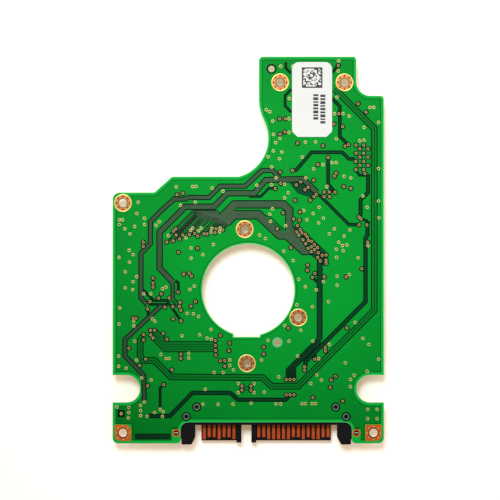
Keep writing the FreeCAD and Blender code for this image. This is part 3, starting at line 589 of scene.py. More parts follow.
def board_edge(inset, step_corners=True):
    """The board's outline pulled inwards, stepping round the corner lands and the lock holes."""
    if step_corners:
        step_x, step_y = CORNERS[1][0] - CORNER_STEP, CORNERS[1][1] + CORNER_STEP
        lock_left, lock_right = LOCKS[0][0] - LOCK_STEP_X, LOCKS[1][0] + LOCK_STEP_X
        recess = [(lock_left, FOOT_Y, 0.3), (lock_left, LOCK_STEP_Y, 0.0), (RECESS_LEFT, LOCK_STEP_Y, 0.3),
                  (RECESS_LEFT, RECESS_Y, 1.9), (RECESS_RIGHT, RECESS_Y, 1.9),
                  (RECESS_RIGHT, LOCK_STEP_Y, 0.3), (lock_right, LOCK_STEP_Y, 0.0), (lock_right, FOOT_Y, 0.3)]
        right_foot = [(step_x, FOOT_Y, 0.3), (step_x, step_y, 0.0), (EDGE_X, step_y, 0.3)]
    else:
        recess = [(RECESS_LEFT, FOOT_Y, 1.0), (RECESS_LEFT, RECESS_Y, 1.9),
                  (RECESS_RIGHT, RECESS_Y, 1.9), (RECESS_RIGHT, FOOT_Y, 1.0)]
        right_foot = [(EDGE_X, FOOT_Y, 1.4)]
    notch_round = NOTCH_R - 0.01
    right_notch = [(EDGE_X, NOTCH_Y - NOTCH_R, 0.3), (NOTCH_X - NOTCH_R, NOTCH_Y - NOTCH_R, notch_round),
                   (NOTCH_X - NOTCH_R, NOTCH_Y + NOTCH_R, notch_round), (EDGE_X, NOTCH_Y + NOTCH_R, 0.3)]
    left_foot, left_notch = ([(-x, y, r) for x, y, r in reversed(side)] for side in (right_foot, right_notch))
    tab = [(EDGE_X, STEP_Y, 0.9), (TAB_RIGHT, STEP_Y, 3.6),
           (TAB_RIGHT, TAB_TOP, 0.8), (TAB_LEFT, TAB_TOP, 1.1)]
    # Plain corners stand in for the pivot bay at first; its arcs replace them below.
    bay_span = [(TAB_LEFT, 50.0, 0.0), (-5.0, 30.0, 0.0), (-5.0, MID_TOP, 0.0)]
    shelf = [(-19.5, MID_TOP, 1.0), (-24.0, SHELF_Y, 1.0), (-EDGE_X, SHELF_Y, 1.8)]
    corners = recess + right_foot + right_notch + tab + bay_span + shelf + left_notch + left_foot
    first = rounded(corners, inset)
    cut_from = next(i for i, (x, y) in enumerate(first) if x < 10.0 and 47.0 < y < 51.5)
    cut_to = next(i for i, (x, y) in enumerate(first) if i > cut_from and x < -4.0 and 26.5 < y < 29.5)
    blend = arc(BLEND[0], BLEND[1], BLEND_R - inset, 180, 207, 8)
    start = math.degrees(math.asin((BLEND[1] - BAY[1]) / (BAY_R + BLEND_R)))
    end = -math.degrees(math.asin((BAY[1] - MID_TOP + inset) / (BAY_R + inset)))
    bay = arc(BAY[0], BAY[1], BAY_R + inset, start, end, 30)
    beyond = [p for p in first[cut_to:] if not (-8 < p[0] < 3 and p[1] > 26)]
    return first[:cut_from] + blend + bay[1:] + beyond


def spindle_edge(outset):
    """The spindle opening with its squared foot, grown outwards."""
    left, right, low = SPINDLE_KEY
    radius = SPINDLE_R + outset
    a_right = math.degrees(math.asin((right + outset) / radius)) - 90
    a_left = 270 - math.degrees(math.asin((-left + outset) / radius))
    top = arc(0, 0, radius, a_right, a_left, 72)
    return top + [(left - outset, low - outset), (right + outset, low - outset)]


# Seven staggered rows of two vias at the right of the board.
STAGGERED = [(x, 37.0 - 2.1 * (row // 2) - row % 2)
             for row in range(7) for x in ((27.5, 29.5), (28.5, 30.6))[row % 2]]
# Vias that join the copper on the trace face, then vias with a bare ring round them.
LIGHT_VIAS = [
    (-32.4, -31.6), (-29.0, -13.1), (-16.9, -11.7), (-12.4, -11.5), (-10.5, -12.3), (-9.4, -12.6),
    (-33.1, -16.9), (-33.1, -19.5), (-31.2, -20.0), (-28.5, -17.9), (-22.3, -16.5), (-21.0, -17.5),
    (-20.2, -17.5), (-15.2, -16.2), (-15.2, -17.4), (-27.2, -22.5), (-24.8, -23.0), (-11.0, -25.4),
    (-8.7, -21.1), (-6.4, -21.1), (-3.8, -20.4), (-4.7, -17.9), (-4.7, -19.3), (-2.5, -23.9), (-2.5, -26.2),
    (-11.6, -29.2), (-7.7, -29.2), (-3.9, -29.2), (-33.5, -29.9), (-30.5, -30.0), (-30.5, -31.3),
    (-30.6, -32.7), (-27.5, -29.5), (-27.5, -30.8), (-27.5, -32.1), (-26.5, -28.6), (-22.5, -30.5),
    (-21.7, -31.1), (-23.9, -31.3), (-21.9, -32.3), (-25.8, -32.3), (5.0, -12.9), (10.4, -13.1),
    (13.4, -10.3), (16.5, -13.1), (20.7, -13.9), (12.6, -16.9), (18.0, -17.6), (3.4, -17.9), (7.8, -22.2),
    (17.5, -21.7), (18.7, -23.0), (16.0, -23.9), (24.8, -18.6), (29.3, -12.4), (30.8, -13.9), (33.3, -17.7),
    (30.4, -20.8), (27.1, -21.8), (26.1, -22.9), (26.1, -24.7), (1.5, -23.9), (1.5, -26.2), (4.1, -26.1),
    (0.7, -28.9), (7.1, -29.1), (8.3, -29.1), (13.7, -29.05), (14.6, -29.05), (16.3, -29.05),
    (17.2, -29.05), (30.5, -30.5), (32.9, -30.5), (30.5, -32.9), (32.9, -32.9), (-28.1, 22.4),
    (-28.45, 19.5), (-32.9, 17.9), (-32.1, 17.9), (-32.9, 16.7), (-31.5, 15.6), (-29.0, 16.2),
    (-26.5, 18.3), (-26.5, 16.7), (-30.2, 14.3), (-18.4, 26.3), (-14.2, 26.4), (-13.3, 26.4), (-9.2, 26.0),
    (-6.4, 25.2), (-17.3, 21.6), (-13.5, 22.4), (-22.7, 17.4), (-23.5, 16.5), (-14.7, 15.2), (-14.2, 15.8),
    (-12.7, 15.1), (-12.0, 15.8), (-9.5, 14.8), (-9.3, 15.7), (-7.3, 14.9), (-7.2, 15.8), (-30.4, 10.1),
    (-29.4, 9.0), (-33.0, 8.3), (-30.3, 7.1), (-31.4, 4.6), (-28.5, 3.4), (-29.4, 2.1), (-31.4, 0.5),
    (-29.5, 0.1), (-32.8, -4.6), (-33.0, -8.7), (-29.25, -8.0), (-29.2, -9.2), (-26.7, -1.0), (-24.9, -1.0),
    (-21.9, 0.3), (-21.0, 0.7), (-24.5, -7.4), (-23.8, -8.0), (-14.9, 0.1), (-13.8, 0.95), (-14.6, 8.1),
    (-14.6, 10.7), (-11.6, 9.0), (-8.9, 11.6), (-15.6, -6.0), (-14.0, -6.1), (-12.7, -6.8), (-9.5, -10.1),
    (-20.4, 13.9), (-15.9, 13.3), (5.5, 19.3), (16.6, 19.5), (15.0, 17.9), (19.2, 18.3), (18.0, 17.1),
    (22.0, 15.6), (20.7, 14.3), (26.0, 15.3), (24.5, 13.7), (23.1, 12.2), (24.05, 11.3), (25.2, 11.5),
    (22.5, 10.4), (24.25, 10.0), (22.55, 8.3), (28.1, 8.2), (30.6, 11.3), (5.7, 17.5), (9.6, 16.4),
    (2.9, 14.0), (4.4, 13.1), (9.1, 9.9), (11.5, 7.5), (12.9, 2.7), (14.6, 0.8), (17.4, 0.0), (19.2, 2.1),
    (22.7, 1.2), (22.7, 3.5), (25.8, 3.9), (20.5, -3.0), (16.4, -4.3), (12.4, -3.8), (27.3, -8.3),
    (9.3, -9.1), (33.4, 18.4), (6.3, 43.1), (10.4, 43.7), (22.1, 45.0), (24.2, 45.0), (25.8, 44.4),
    (29.6, 41.5), (33.3, 42.8), (6.4, 39.7), (10.4, 40.2), (8.1, 38.7), (7.0, 37.6), (14.6, 37.7),
    (17.2, 37.8), (22.5, 38.6), (6.4, 35.5), (8.6, 35.2), (5.1, 34.0), (8.0, 33.5), (13.8, 33.9),
    (6.0, 31.4), (19.1, 32.0), (21.4, 32.5), (22.5, 32.5), (16.7, 30.9), (24.5, 29.0), (26.2, 28.6),
    (14.7, 28.6), (7.1, 28.6), (2.2, 26.7), (6.0, 26.9), (9.3, 27.0), (20.1, 26.4), (10.2, 24.8),
    (9.3, 23.5), (29.3, 24.0), (30.4, 21.1), (18.1, 21.1), (14.2, 20.3), (6.2, 20.7), (33.3, 31.0),
    (33.3, 22.7), (28.5, 38.1), (29.6, 38.2), (8.3, 57.1), (11.4, 57.1), (23.1, 58.5), (23.0, 55.9),
    (10.5, 48.9), (4.6, 46.0), (5.5, 45.5), (22.7, 49.2), (31.1, 46.6), (32.1, 46.6),
]
LONE_VIAS = [
    (-21.7, -11.1), (-20.8, -12.6), (-24.9, -11.5), (-24.3, -12.3), (-26.7, -11.4), (-26.7, -12.8),
    (-30.5, -14.9), (-27.7, -19.3), (-26.2, -17.7), (-19.5, -20.4), (-17.2, -16.4), (-17.2, -17.5),
    (-25.7, -24.5), (-21.6, -24.2), (-8.4, -12.9), (-8.4, -14.2), (-8.3, -15.5), (-8.3, -16.7),
    (-7.1, -11.6), (-4.8, -13.6), (-4.9, -15.5), (-7.1, -18.1), (-6.0, -18.1), (-6.0, -19.5), (-1.6, -24.6),
    (-1.6, -25.6), (3.9, -14.6), (3.9, -16.4), (19.7, -14.7), (19.7, -15.6), (17.0, -17.7), (14.4, -19.6),
    (14.4, -20.5), (9.7, -22.9), (10.7, -22.9), (11.7, -22.9), (9.7, -26.8), (10.7, -26.8), (11.7, -26.8),
    (22.3, -22.1), (21.2, -23.0), (20.95, -24.9), (16.5, -27.5), (24.1, -28.4), (0.7, -24.6), (0.7, -25.6),
    (-18.2, 24.3), (-16.7, 24.7), (-19.1, 15.0), (-18.5, 15.6), (-8.2, 15.6), (-6.5, 15.3), (-26.8, 12.2),
    (-26.8, 11.1), (-24.3, 3.0), (-24.3, 1.7), (-24.3, 0.7), (-22.2, -1.0), (-22.9, -2.1), (-20.2, -2.1),
    (-25.1, -3.0), (-25.7, -4.9), (-21.3, -4.4), (-19.25, -4.3), (-17.4, -3.2), (-17.6, -4.2),
    (-17.2, -5.2), (-17.9, -0.6), (-13.5, -3.0), (-14.6, -4.2), (-16.5, 4.0), (-15.1, 4.3), (-14.5, 3.5),
    (-17.8, 9.6), (-12.9, 10.6), (-17.2, -7.9), (-19.2, -7.4), (-29.4, -7.2), (-28.6, -7.2), (-25.0, -10.3),
    (-23.95, -10.3), (-20.8, 12.2), (-19.2, 12.5), (-18.4, 14.0), (-17.5, 13.0), (-16.7, 14.0),
    (-15.0, 14.1), (-13.65, 14.4), (-12.9, 13.7), (-11.3, 14.3), (-10.5, 14.3), (-8.5, 14.6), (8.9, 19.7),
    (13.2, 19.9), (11.6, 18.1), (13.1, 17.8), (12.6, 16.4), (13.3, 15.4), (12.4, 14.8), (13.7, 14.6),
    (12.9, 14.0), (14.6, 14.2), (15.1, 13.5), (14.0, 12.8), (15.4, 12.6), (14.7, 11.8), (16.2, 12.4),
    (16.9, 11.5), (16.1, 11.0), (15.3, 10.6), (17.7, 10.8), (16.9, 10.3), (16.1, 9.8), (17.9, 9.5),
    (18.9, 8.8), (19.9, 8.9), (17.75, 8.3), (18.4, 7.4), (19.9, 7.6), (19.9, 6.8), (15.2, 6.3), (15.1, 5.0),
    (17.0, 4.2), (16.4, 3.2), (19.4, 3.3), (7.4, 15.6), (10.9, 10.8), (28.3, 18.6), (28.8, 18.1),
    (28.3, 16.6), (30.3, 16.6), (30.5, 12.2), (29.0, 5.4), (25.0, 3.3), (25.2, -9.7), (10.3, -9.8),
    (8.0, 43.7), (9.5, 43.7), (8.1, 39.8), (9.4, 40.3), (12.6, 37.5), (19.1, 36.8), (21.9, 42.4),
    (24.1, 41.7), (23.1, 45.0), (30.1, 45.4), (25.6, 37.1), (24.7, 36.7), *STAGGERED, (29.8, 29.7),
    (20.4, 33.8), (17.8, 32.0), (16.7, 28.0), (8.2, 30.1), (11.3, 30.5), (13.4, 27.6), (12.3, 26.8),
    (15.3, 26.2), (14.5, 25.6), (8.3, 27.2), (6.9, 25.9), (17.4, 24.4), (16.8, 23.8), (15.8, 22.9),
    (12.0, 22.9), (19.4, 25.0), (20.7, 25.0), (19.4, 23.8), (20.8, 23.8), (22.2, 24.9), (22.5, 29.8),
    (22.0, 29.0), (24.4, 26.4), (26.2, 25.9), (23.0, 57.3), (28.1, 47.6),
]

# Each bundle: kind, width, number of traces, line. "grey" is densely packed, "green" open, "dark" deep.
BUNDLES = [
    ("grey", 0.8, 3, [(-22.4, 20.1), (-25.0, 17.4), (-25.0, 11.8), (-27.4, 9.3), (-27.4, -2.0),
                      (-25.8, -3.8)]),
    ("grey", 0.8, 3, [(-22.4, 20.1), (-18.9, 23.2), (-16.0, 23.2), (-15.4, 23.6), (-10.0, 23.6), (-7.2, 26.5),
                      (-0.8, 26.5), (3.6, 30.5), (6.2, 30.5), (7.9, 28.7)]),
    ("grey", 1.1, 4, [(-19.3, 2.0), (-22.65, 5.6), (-22.65, 14.7), (-16.1, 21.25), (-8.7, 21.25),
                      (-5.4, 24.7), (1.6, 24.7), (4.5, 28.05), (14.0, 28.3), (17.6, 24.8)]),
    ("grey", 0.6, 2, [(-19.3, 2.2), (-19.3, -2.6)]),
    ("grey", 0.75, 3, [(-22.2, -4.0), (-25.4, -7.0), (-31.5, -12.7), (-31.5, -16.8), (-26.7, -21.8),
                       (-26.55, -28.3)]),
    ("dark", 0.16, 1, [(-25.6, -4.6), (-25.6, -6.4)]),
    ("dark", 0.16, 1, [(-26.9, 0.1), (-24.1, -2.7), (-20.8, -2.7), (-17.3, -7.7)]),
    ("dark", 0.16, 1, [(-27.4, -2.3), (-24.9, -3.7), (-20.5, -3.7)]),
    ("dark", 0.2, 1, [(-18.6, 2.4), (-17.85, 1.8), (-17.85, -0.5)]),
    ("green", 0.9, 3, [(-19.3, -2.4), (-17.6, -4.1)]),
    ("green", 1.35, 2, [(-26.9, -11.8), (-27.6, -13.0), (-27.6, -17.0), (-26.7, -18.0), (-24.0, -18.0),
                       (-19.8, -22.2), (3.7, -22.4), (6.0, -24.6), (12.7, -24.6), (27.4, -10.0), (32.2, -5.2),
                       (32.2, 41.2), (24.0, 49.4), (22.0, 51.4)]),
    ("green", 2.45, 4, [(-24.4, -10.9), (-20.9, -14.5), (-8.9, -14.5)]),
    ("dark", 0.16, 1, [(-21.6, -24.2), (-22.5, -25.0), (-22.5, -30.3)]),
    ("dark", 0.55, 1, [(-25.7, -32.2), (-20.0, -32.2), (-14.3, -26.3), (-4.6, -26.3), (-2.6, -28.05),
                       (9.5, -28.05), (10.7, -26.9)]),
    ("dark", 0.6, 2, [(29.95, 13.6), (29.95, -3.0), (14.6, -18.35), (14.5, -20.2)]),
    ("dark", 0.95, 3, [(18.25, 7.6), (18.25, -12.7)]),
    ("dark", 0.16, 1, [(16.5, 3.1), (18.1, 1.5)]),
    ("dark", 0.16, 1, [(18.4, -13.2), (17.1, -15.0), (17.1, -17.5)]),
    ("dark", 0.4, 1, [(11.6, 30.6), (12.2, 30.6), (16.2, 35.15), (24.0, 35.15), (25.7, 33.45),
                      (27.3, 33.45)]),
    ("dark", 0.3, 1, [(18.0, 24.4), (25.7, 16.7), (28.1, 16.7)]),
    ("dark", 0.4, 1, [(20.4, 33.6), (20.4, 27.0), (22.1, 25.0)]),
    ("dark", 0.4, 2, [(21.3, 49.0), (23.4, 46.9), (23.4, 39.2), (25.2, 37.4)]),
    ("dark", 0.5, 1, [(30.6, 29.6), (30.6, 24.9), (28.7, 23.0), (28.7, 18.9)]),
    ("dark", 0.16, 1, [(27.6, 30.4), (28.4, 29.3), (30.8, 29.3)]),
    ("dark", 0.16, 1, [(28.8, 18.2), (30.2, 17.7), (31.0, 16.9)]),
    ("dark", 0.5, 1, [(30.45, 17.4), (30.45, 14.0), (29.95, 13.5)]),
    ("dark", 0.16, 1, [(3.2, 23.9), (0.2, 23.9)]),
    ("dark", 0.16, 1, [(0.2, 23.85), (3.2, 23.85), (5.2, 25.95), (6.8, 25.95)]),
    ("dark", 0.16, 1, [(9.6, 58.2), (9.6, 56.6), (10.9, 55.4)]),
    ("dark", 0.16, 1, [(11.0, 51.3), (9.4, 49.6), (9.4, 47.0), (11.0, 45.4)]),
    ("dark", 0.16, 1, [(21.5, 55.5), (22.8, 57.2)]),
    ("green", 0.6, 2, [(4.6, 18.6), (5.4, 18.4), (9.0, 15.0), (10.3, 15.0)]),
    ("grey", 1.9, 7, [(-5.6, 17.2), (-3.6, 19.2), (2.6, 19.2), (8.0, 14.1), (9.9, 14.0), (14.2, 10.1),
                      (17.2, 10.1)]),
    ("grey", 1.6, 6, [(-7.3, 18.1), (-3.6, 21.85), (9.0, 21.85), (10.5, 20.4), (10.5, 15.6), (14.6, 11.6)]),
]
# The lines that come down beside the spindle part company above their vias.
BUNDLES += [("dark", 0.2, 1, [(18.4, -11.92 - 0.42 * k), (9.95 + 0.65 * k, -20.37 + 0.23 * k),
                              (9.95 + 0.65 * k, -22.8)])
            for k in range(4)]
# Short lines that step from the wide bundle to the drilled diamond.
BUNDLES += [("dark", 0.1, 1, [(12.0 + 0.42 * k, 12.5 - 0.42 * k), (13.2 + 0.42 * k, 12.5 - 0.42 * k)])
            for k in range(7)]
# How much of its pitch a trace takes up, and the gap etched beside a bundle.
TRACE_SHARE = {"grey": 0.78, "dark": 0.78, "green": 0.76}
BESIDE = {"grey": 0.29, "dark": 0.29, "green": 0.20}

# The comb's fingers: each runs up at 45 degrees from its via, then along the bundle.
COMB = [(-20.4, 13.9), (-20.8, 12.2), (-18.4, 14.0), (-19.2, 12.5), (-16.7, 14.0), (-15.9, 13.3),
        (-15.0, 14.1), (-13.65, 14.4), (-12.9, 13.7), (-11.3, 14.3), (-10.5, 14.3), (-8.2, 15.6),
        (-8.5, 14.6), (-6.5, 15.3),
        (-19.1, 15.0), (-14.2, 15.8), (-12.7, 15.1), (-9.5, 14.8), (-7.3, 14.9), (-17.5, 13.0)]
COMB_HEAD, COMB_PITCH, COMB_END = 20.15, 0.14, -7.5
COMB_GAP, COMB_TRACE = 0.50, 0.10

# Areas of deep traces that several vias share, and etched areas.
DENSE_FIELD = [(-13.7, 19.55), (-7.1, 19.55), (-4.2, 22.3), (-3.3, 22.3), (-3.3, 18.4), (-5.4, 16.7),
               (-7.2, 17.0), (-9.6, 17.6), (-12.2, 18.2)]
DEEP_FIELDS = [
    [(11.2, 16.0), (12.2, 16.3), (14.4, 15.0), (16.9, 12.7), (20.2, 9.6), (20.4, 6.4), (19.2, 6.2),
     (17.3, 7.8), (15.0, 9.6), (12.2, 12.4), (11.2, 14.2)],
    [(10.4, 27.5), (14.2, 27.7), (17.4, 24.6), (16.0, 23.6), (12.6, 24.6)],
]
FIELDS = [
    [(-33.35, -32.5), (-31.5, -32.5), (-31.5, -30.65), (-33.35, -30.65)],
    [(-28.9, -38.1), (-19.9, -38.1), (-19.9, -36.7), (-28.9, -36.7)],
]
# Etched lines: two round pairs of vias, two that link the pairs, one over the comb. Start, end and width.
LINKED = [((-1.6, -24.3), (-1.6, -25.9), 1.25), ((0.7, -24.3), (0.7, -25.9), 1.25),
          ((-1.6, -24.75), (0.7, -24.75), 0.24), ((-1.6, -25.5), (0.7, -25.5), 0.24),
          ((-13.9, 19.62), (-7.0, 19.62), 0.46)]

# Thin layers start SINK below the face they lie on. Each has its own height over the copper, and strips of
# one kind differ by a hair, so that no two tops share a plane.
SINK = 0.01
FIELD_TOP, DEEP_TOP, LINK_TOP, COMB_GAP_TOP, GAP_TOP = 0.0015, 0.0018, 0.0032, 0.0035, 0.004
HATCH_TOP, DENSE_TOP, COMB_TOP, TRACE_TOP, STUB_TOP, RING_TOP = 0.006, 0.011, 0.012, 0.014, 0.015, 0.020
HAIR, WIDE_HAIR = 0.0001, 0.0002
LAND_SINK = 0.02
STITCH_CIRCLE = 1.675   # radius of the ring of stitching holes in a screw land
LAND_CUT, TOOLING_CUT, PEG_CUT = 1.8, 1.3, 0.62
# Outer and inner radii of the rings round the holes.
TOOLING_COLLAR, PEG_COLLAR, PEG_RING = (1.29, 0.86), (1.19, 0.86), (0.73, 0.61)
# The barrel rings are painted shade: a dark band round each screw and corner hole, where its plated wall
# falls into shade.
LAND_RIM, LAND_BARREL_SHADE, CORNER_BARREL_SHADE = (2.25, 2.0), (1.25, 1.1), (1.36, 1.1)
EDGE_BAND = (-0.03, 0.17)   # thin mask over the copper's edge, from outside it to inside it


def islands(body):
    """The separate solids of a modelled part, each as a list of points in millimetres."""
    mesh = body.data
    parent = list(range(len(mesh.vertices)))
    spots = {}

    def root(i):
        while parent[i] != i:
            parent[i] = parent[parent[i]]
            i = parent[i]
        return i

    for vertex in mesh.vertices:
        key = tuple(round(v / MM, 3) for v in vertex.co)
        parent[root(vertex.index)] = root(spots.setdefault(key, vertex.index))
    for edge in mesh.edges:
        parent[root(edge.vertices[0])] = root(edge.vertices[1])
    found = {}
    for vertex in mesh.vertices:
        found.setdefault(root(vertex.index), []).append(tuple(v / MM for v in vertex.co))
    return [found[key] for key in sorted(found)]


def feet_of(points):
    """The points of a lead that stand on or near the board's component face."""
    return [p for p in points if p[2] > BACK_Z - 0.30]


def footprint(points):
    """Centre, half sizes and turn of the tightest rectangle round some points in plan."""
    best = None
    for step in range(18):
        turn = math.radians(step * 5)
        ca, sa = math.cos(turn), math.sin(turn)
        us = [x * ca + y * sa for x, y, _ in points]
        vs = [y * ca - x * sa for x, y, _ in points]
        wide, deep = max(us) - min(us), max(vs) - min(vs)
        if best is None or wide * deep < best[0] - 1e-6:
            u, v = (max(us) + min(us)) / 2, (max(vs) + min(vs)) / 2
            best = (wide * deep, ((u * ca - v * sa, u * sa + v * ca), wide / 2, deep / 2, turn))
    return best[1]


def frustum(bm, print_of, spread_low, spread_high, z_low, z_high):
    """A closed block whose two ends are rectangles of different sizes."""
    (x, y), half_x, half_y, turn = print_of
    ca, sa = math.cos(turn), math.sin(turn)
    rings = []
    waist = (spread_low * 0.45 + spread_high * 0.55, z_low * 0.55 + z_high * 0.45)
    for spread, z in ((spread_low, z_low), waist, (spread_high, z_high)):
        corners = [(sx * (half_x + spread), sy * (half_y + spread))
                   for sx, sy in ((-1, -1), (1, -1), (1, 1), (-1, 1))]
        rings.append([bm.verts.new(((x + u * ca - v * sa) * MM, (y + u * sa + v * ca) * MM, z * MM))
                      for u, v in corners])
    bm.faces.new(list(reversed(rings[0])))
    bm.faces.new(rings[-1])
    for low, high in zip(rings, rings[1:]):
        skirt(bm, low, high)


def dogleg(start, end):
    """A line that leaves at 45 degrees and ends straight."""
    dx, dy = end[0] - start[0], end[1] - start[1]
    run = min(abs(dx), abs(dy))
    if run < 0.05 or abs(abs(dx) - abs(dy)) < 0.05:
        return [start, end]
    return [start, (start[0] + math.copysign(run, dx), start[1] + math.copysign(run, dy)), end]


def crosses(first, second):
    """Whether two lines cross or come too near."""
    def near(a, b, c, d):
        def side(p, q, r):
            return (q[0] - p[0]) * (r[1] - p[1]) - (q[1] - p[1]) * (r[0] - p[0])
        if side(a, b, c) * side(a, b, d) < 0 and side(c, d, a) * side(c, d, b) < 0:
            return True
        return any(apart(p, q, r) < 0.35 for p, q, r in ((c, a, b), (d, a, b), (a, c, d), (b, c, d)))

    def apart(p, a, b):
        span = (b[0] - a[0]) ** 2 + (b[1] - a[1]) ** 2
        t = max(0.0, min(1.0, ((p[0] - a[0]) * (b[0] - a[0]) + (p[1] - a[1]) * (b[1] - a[1])) / span))
        return math.hypot(p[0] - a[0] - t * (b[0] - a[0]), p[1] - a[1] - t * (b[1] - a[1]))

    return any(near(a, b, c, d) for a, b in zip(first, first[1:]) for c, d in zip(second, second[1:]))


def comb_fingers():
    """Lines of the comb, nested so that the outermost finger joins at the top."""
    order = sorted(COMB, key=lambda via: via[0] - via[1])
    lines = []
    for i, (x, y) in enumerate(order):
        level = COMB_HEAD - COMB_PITCH * i
        lines.append([(x, y), (x + level - y, level), (max(COMB_END, x + level - y + 0.5), level)])
    return lines


# ---------------------------------------------------------------- operators
class PieceOperator:
    """What the operators share."""
    bl_options = {"REGISTER", "UNDO"}


class BOARD_OT_copper(PieceOperator, bpy.types.Operator):
    """Lays the masked copper over both faces of the board"""
    bl_idname = "board.copper"
    bl_label = "Masked copper"

    def execute(self, context):
        s, c = sizes(), colours()
        face = FACE_Z + s.copper_height
        over_copper = mask_finish("mask_over_copper", c.pour)
        # The copper runs on under the rims of the lands, so that no cut-out meets its edge.
        holes = [circle(x, y, LAND_CUT, 40) for x, y in LANDS]
        holes += [circle(x, y, TOOLING_CUT, 28) for x, y in TOOLING]
        holes += [circle(x, y, PEG_CUT, 24) for x, y in PEGS]
        outlines = [board_edge(s.edge_margin), spindle_edge(s.hole_margin)] + holes
        for name, z0, z1 in (("copper_front", FACE_Z, face),
                             ("copper_back", BACK_Z - s.copper_height, BACK_Z)):
            flat_sheet(name, outlines, z0, z1, over_copper)
        thin = mask_finish("mask_over_edge", c.rim)
        # The bright bands along the board's edge and round the spindle opening are the thin mask at the cut
        # edge with a painted highlight along it.
        cut_rim_and_highlight = mask_finish("milled_edge", c.cut_rim_and_highlight, 0.1, 0.5)
        for name, edge, low, high in (("milled_edge_outer", board_line, 0.0, 0.16),
                                      ("milled_edge_inner", spindle_edge, 0.12, 0.0)):
            flat_sheet(name, [edge(low), edge(high)], FACE_Z - SINK, FACE_Z + 0.006, cut_rim_and_highlight)

        def tooling_collar(bm, place):
            annulus(bm, *place, *TOOLING_COLLAR, FACE_Z - SINK, FACE_Z + 0.012, 28)

        def collars(bm):
            for x, y in PEGS:
                annulus(bm, x, y, *PEG_COLLAR, FACE_Z - SINK, face + 0.006, 28)
            tooling_collar(bm, TOOLING[0])

        new_piece("hole_collars", collars, mask_finish("mask_in_gap", c.gap))
        # The pale collar round the test hole is bare laminate with painted light that stands for light
        # shining through the hole's unplated wall.
        new_piece("test_hole_collar", lambda bm: tooling_collar(bm, TOOLING[1]),
                  mask_finish("bare_laminate", BARE_LAMINATE_LIT_THROUGH, 0.1, 0.5))
        outer = [board_edge(s.edge_margin + step) for step in EDGE_BAND]
        inner = [spindle_edge(s.hole_margin + step) for step in reversed(EDGE_BAND)]
        flat_sheet("copper_edge_outer", outer, face - SINK, face + 0.003, thin)
        flat_sheet("copper_edge_inner", inner, face - SINK, face + 0.003, thin)
        return {"FINISHED"}


class BOARD_OT_traces(PieceOperator, bpy.types.Operator):
    """Etches the trace bundles into the copper"""
    bl_idname = "board.traces"
    bl_label = "Traces"

    def execute(self, context):
        s, c = sizes(), colours()
        face = FACE_Z + s.copper_height
        low = face - SINK
        gap = mask_finish("mask_in_gap", c.gap)
        tones = {"grey": mask_finish("mask_dense_traces", c.trace_grey),
                 "green": mask_finish("mask_open_traces", c.trace_green),
                 "dark": mask_finish("mask_deep_traces", c.trace_dark)}
        fingers = comb_fingers()

        def gaps(bm):
            for i, (kind, width, _, line) in enumerate(BUNDLES):
                ribbon(bm, line, width + 2 * BESIDE[kind], low, face + GAP_TOP + WIDE_HAIR * i)
            for i, line in enumerate(fingers):
                ribbon(bm, line, COMB_GAP, low, face + COMB_GAP_TOP - HAIR * i)
            for i, (start, end, width) in enumerate(LINKED):
                ribbon(bm, [start, end], width, low, face + LINK_TOP - HAIR * i)

        def fields(bm):
            for outline in FIELDS:
                prism(bm, outline, low, face + FIELD_TOP)

        def deep_fields(bm):
            for outline in DEEP_FIELDS:
                prism(bm, outline, low, face + DEEP_TOP)
            for i in range(9):
                x, drop = 11.6 + i * 0.98, i * 0.98
                ribbon(bm, [(x - 0.5, 15.4 - drop), (x + 0.35, 16.2 - drop)], 0.16, low, face + STUB_TOP)

        def hatch(bm):
            for i in range(22):
                x = -28.5 + i * 0.39
                ribbon(bm, [(x - 0.12, -37.85), (x + 0.16, -36.95)], 0.12, low, face + HATCH_TOP)

        def dense_field(bm):
            prism(bm, DENSE_FIELD, low, face + DENSE_TOP)

        def comb(bm):
            for i, line in enumerate(fingers):
                ribbon(bm, line, COMB_TRACE, low, face + COMB_TOP + HAIR * i)

        new_piece("etched_gaps", gaps, gap)
        new_piece("etched_fields", fields, gap)
        new_piece("deep_fields", deep_fields, tones["dark"])
        new_piece("comb_traces", comb, tones["grey"])
        new_piece("dense_field", dense_field, mask_finish("mask_between_traces", BETWEEN_TRACES))
        new_piece("code_hatch", hatch, mask_finish("mask_in_hatch", HATCHED_MASK))
        for kind, tone in tones.items():
            def lines(bm):
                for i, (sort, width, count, line) in enumerate(BUNDLES):
                    if sort != kind:
                        continue
                    pitch, high = width / count, face + TRACE_TOP + WIDE_HAIR * i
                    for k in range(count):
                        shift = (k - (count - 1) / 2) * pitch
                        ribbon(bm, line, pitch * TRACE_SHARE[kind], low, high, shift)
            new_piece("traces_" + kind, lines, tone)
        return {"FINISHED"}


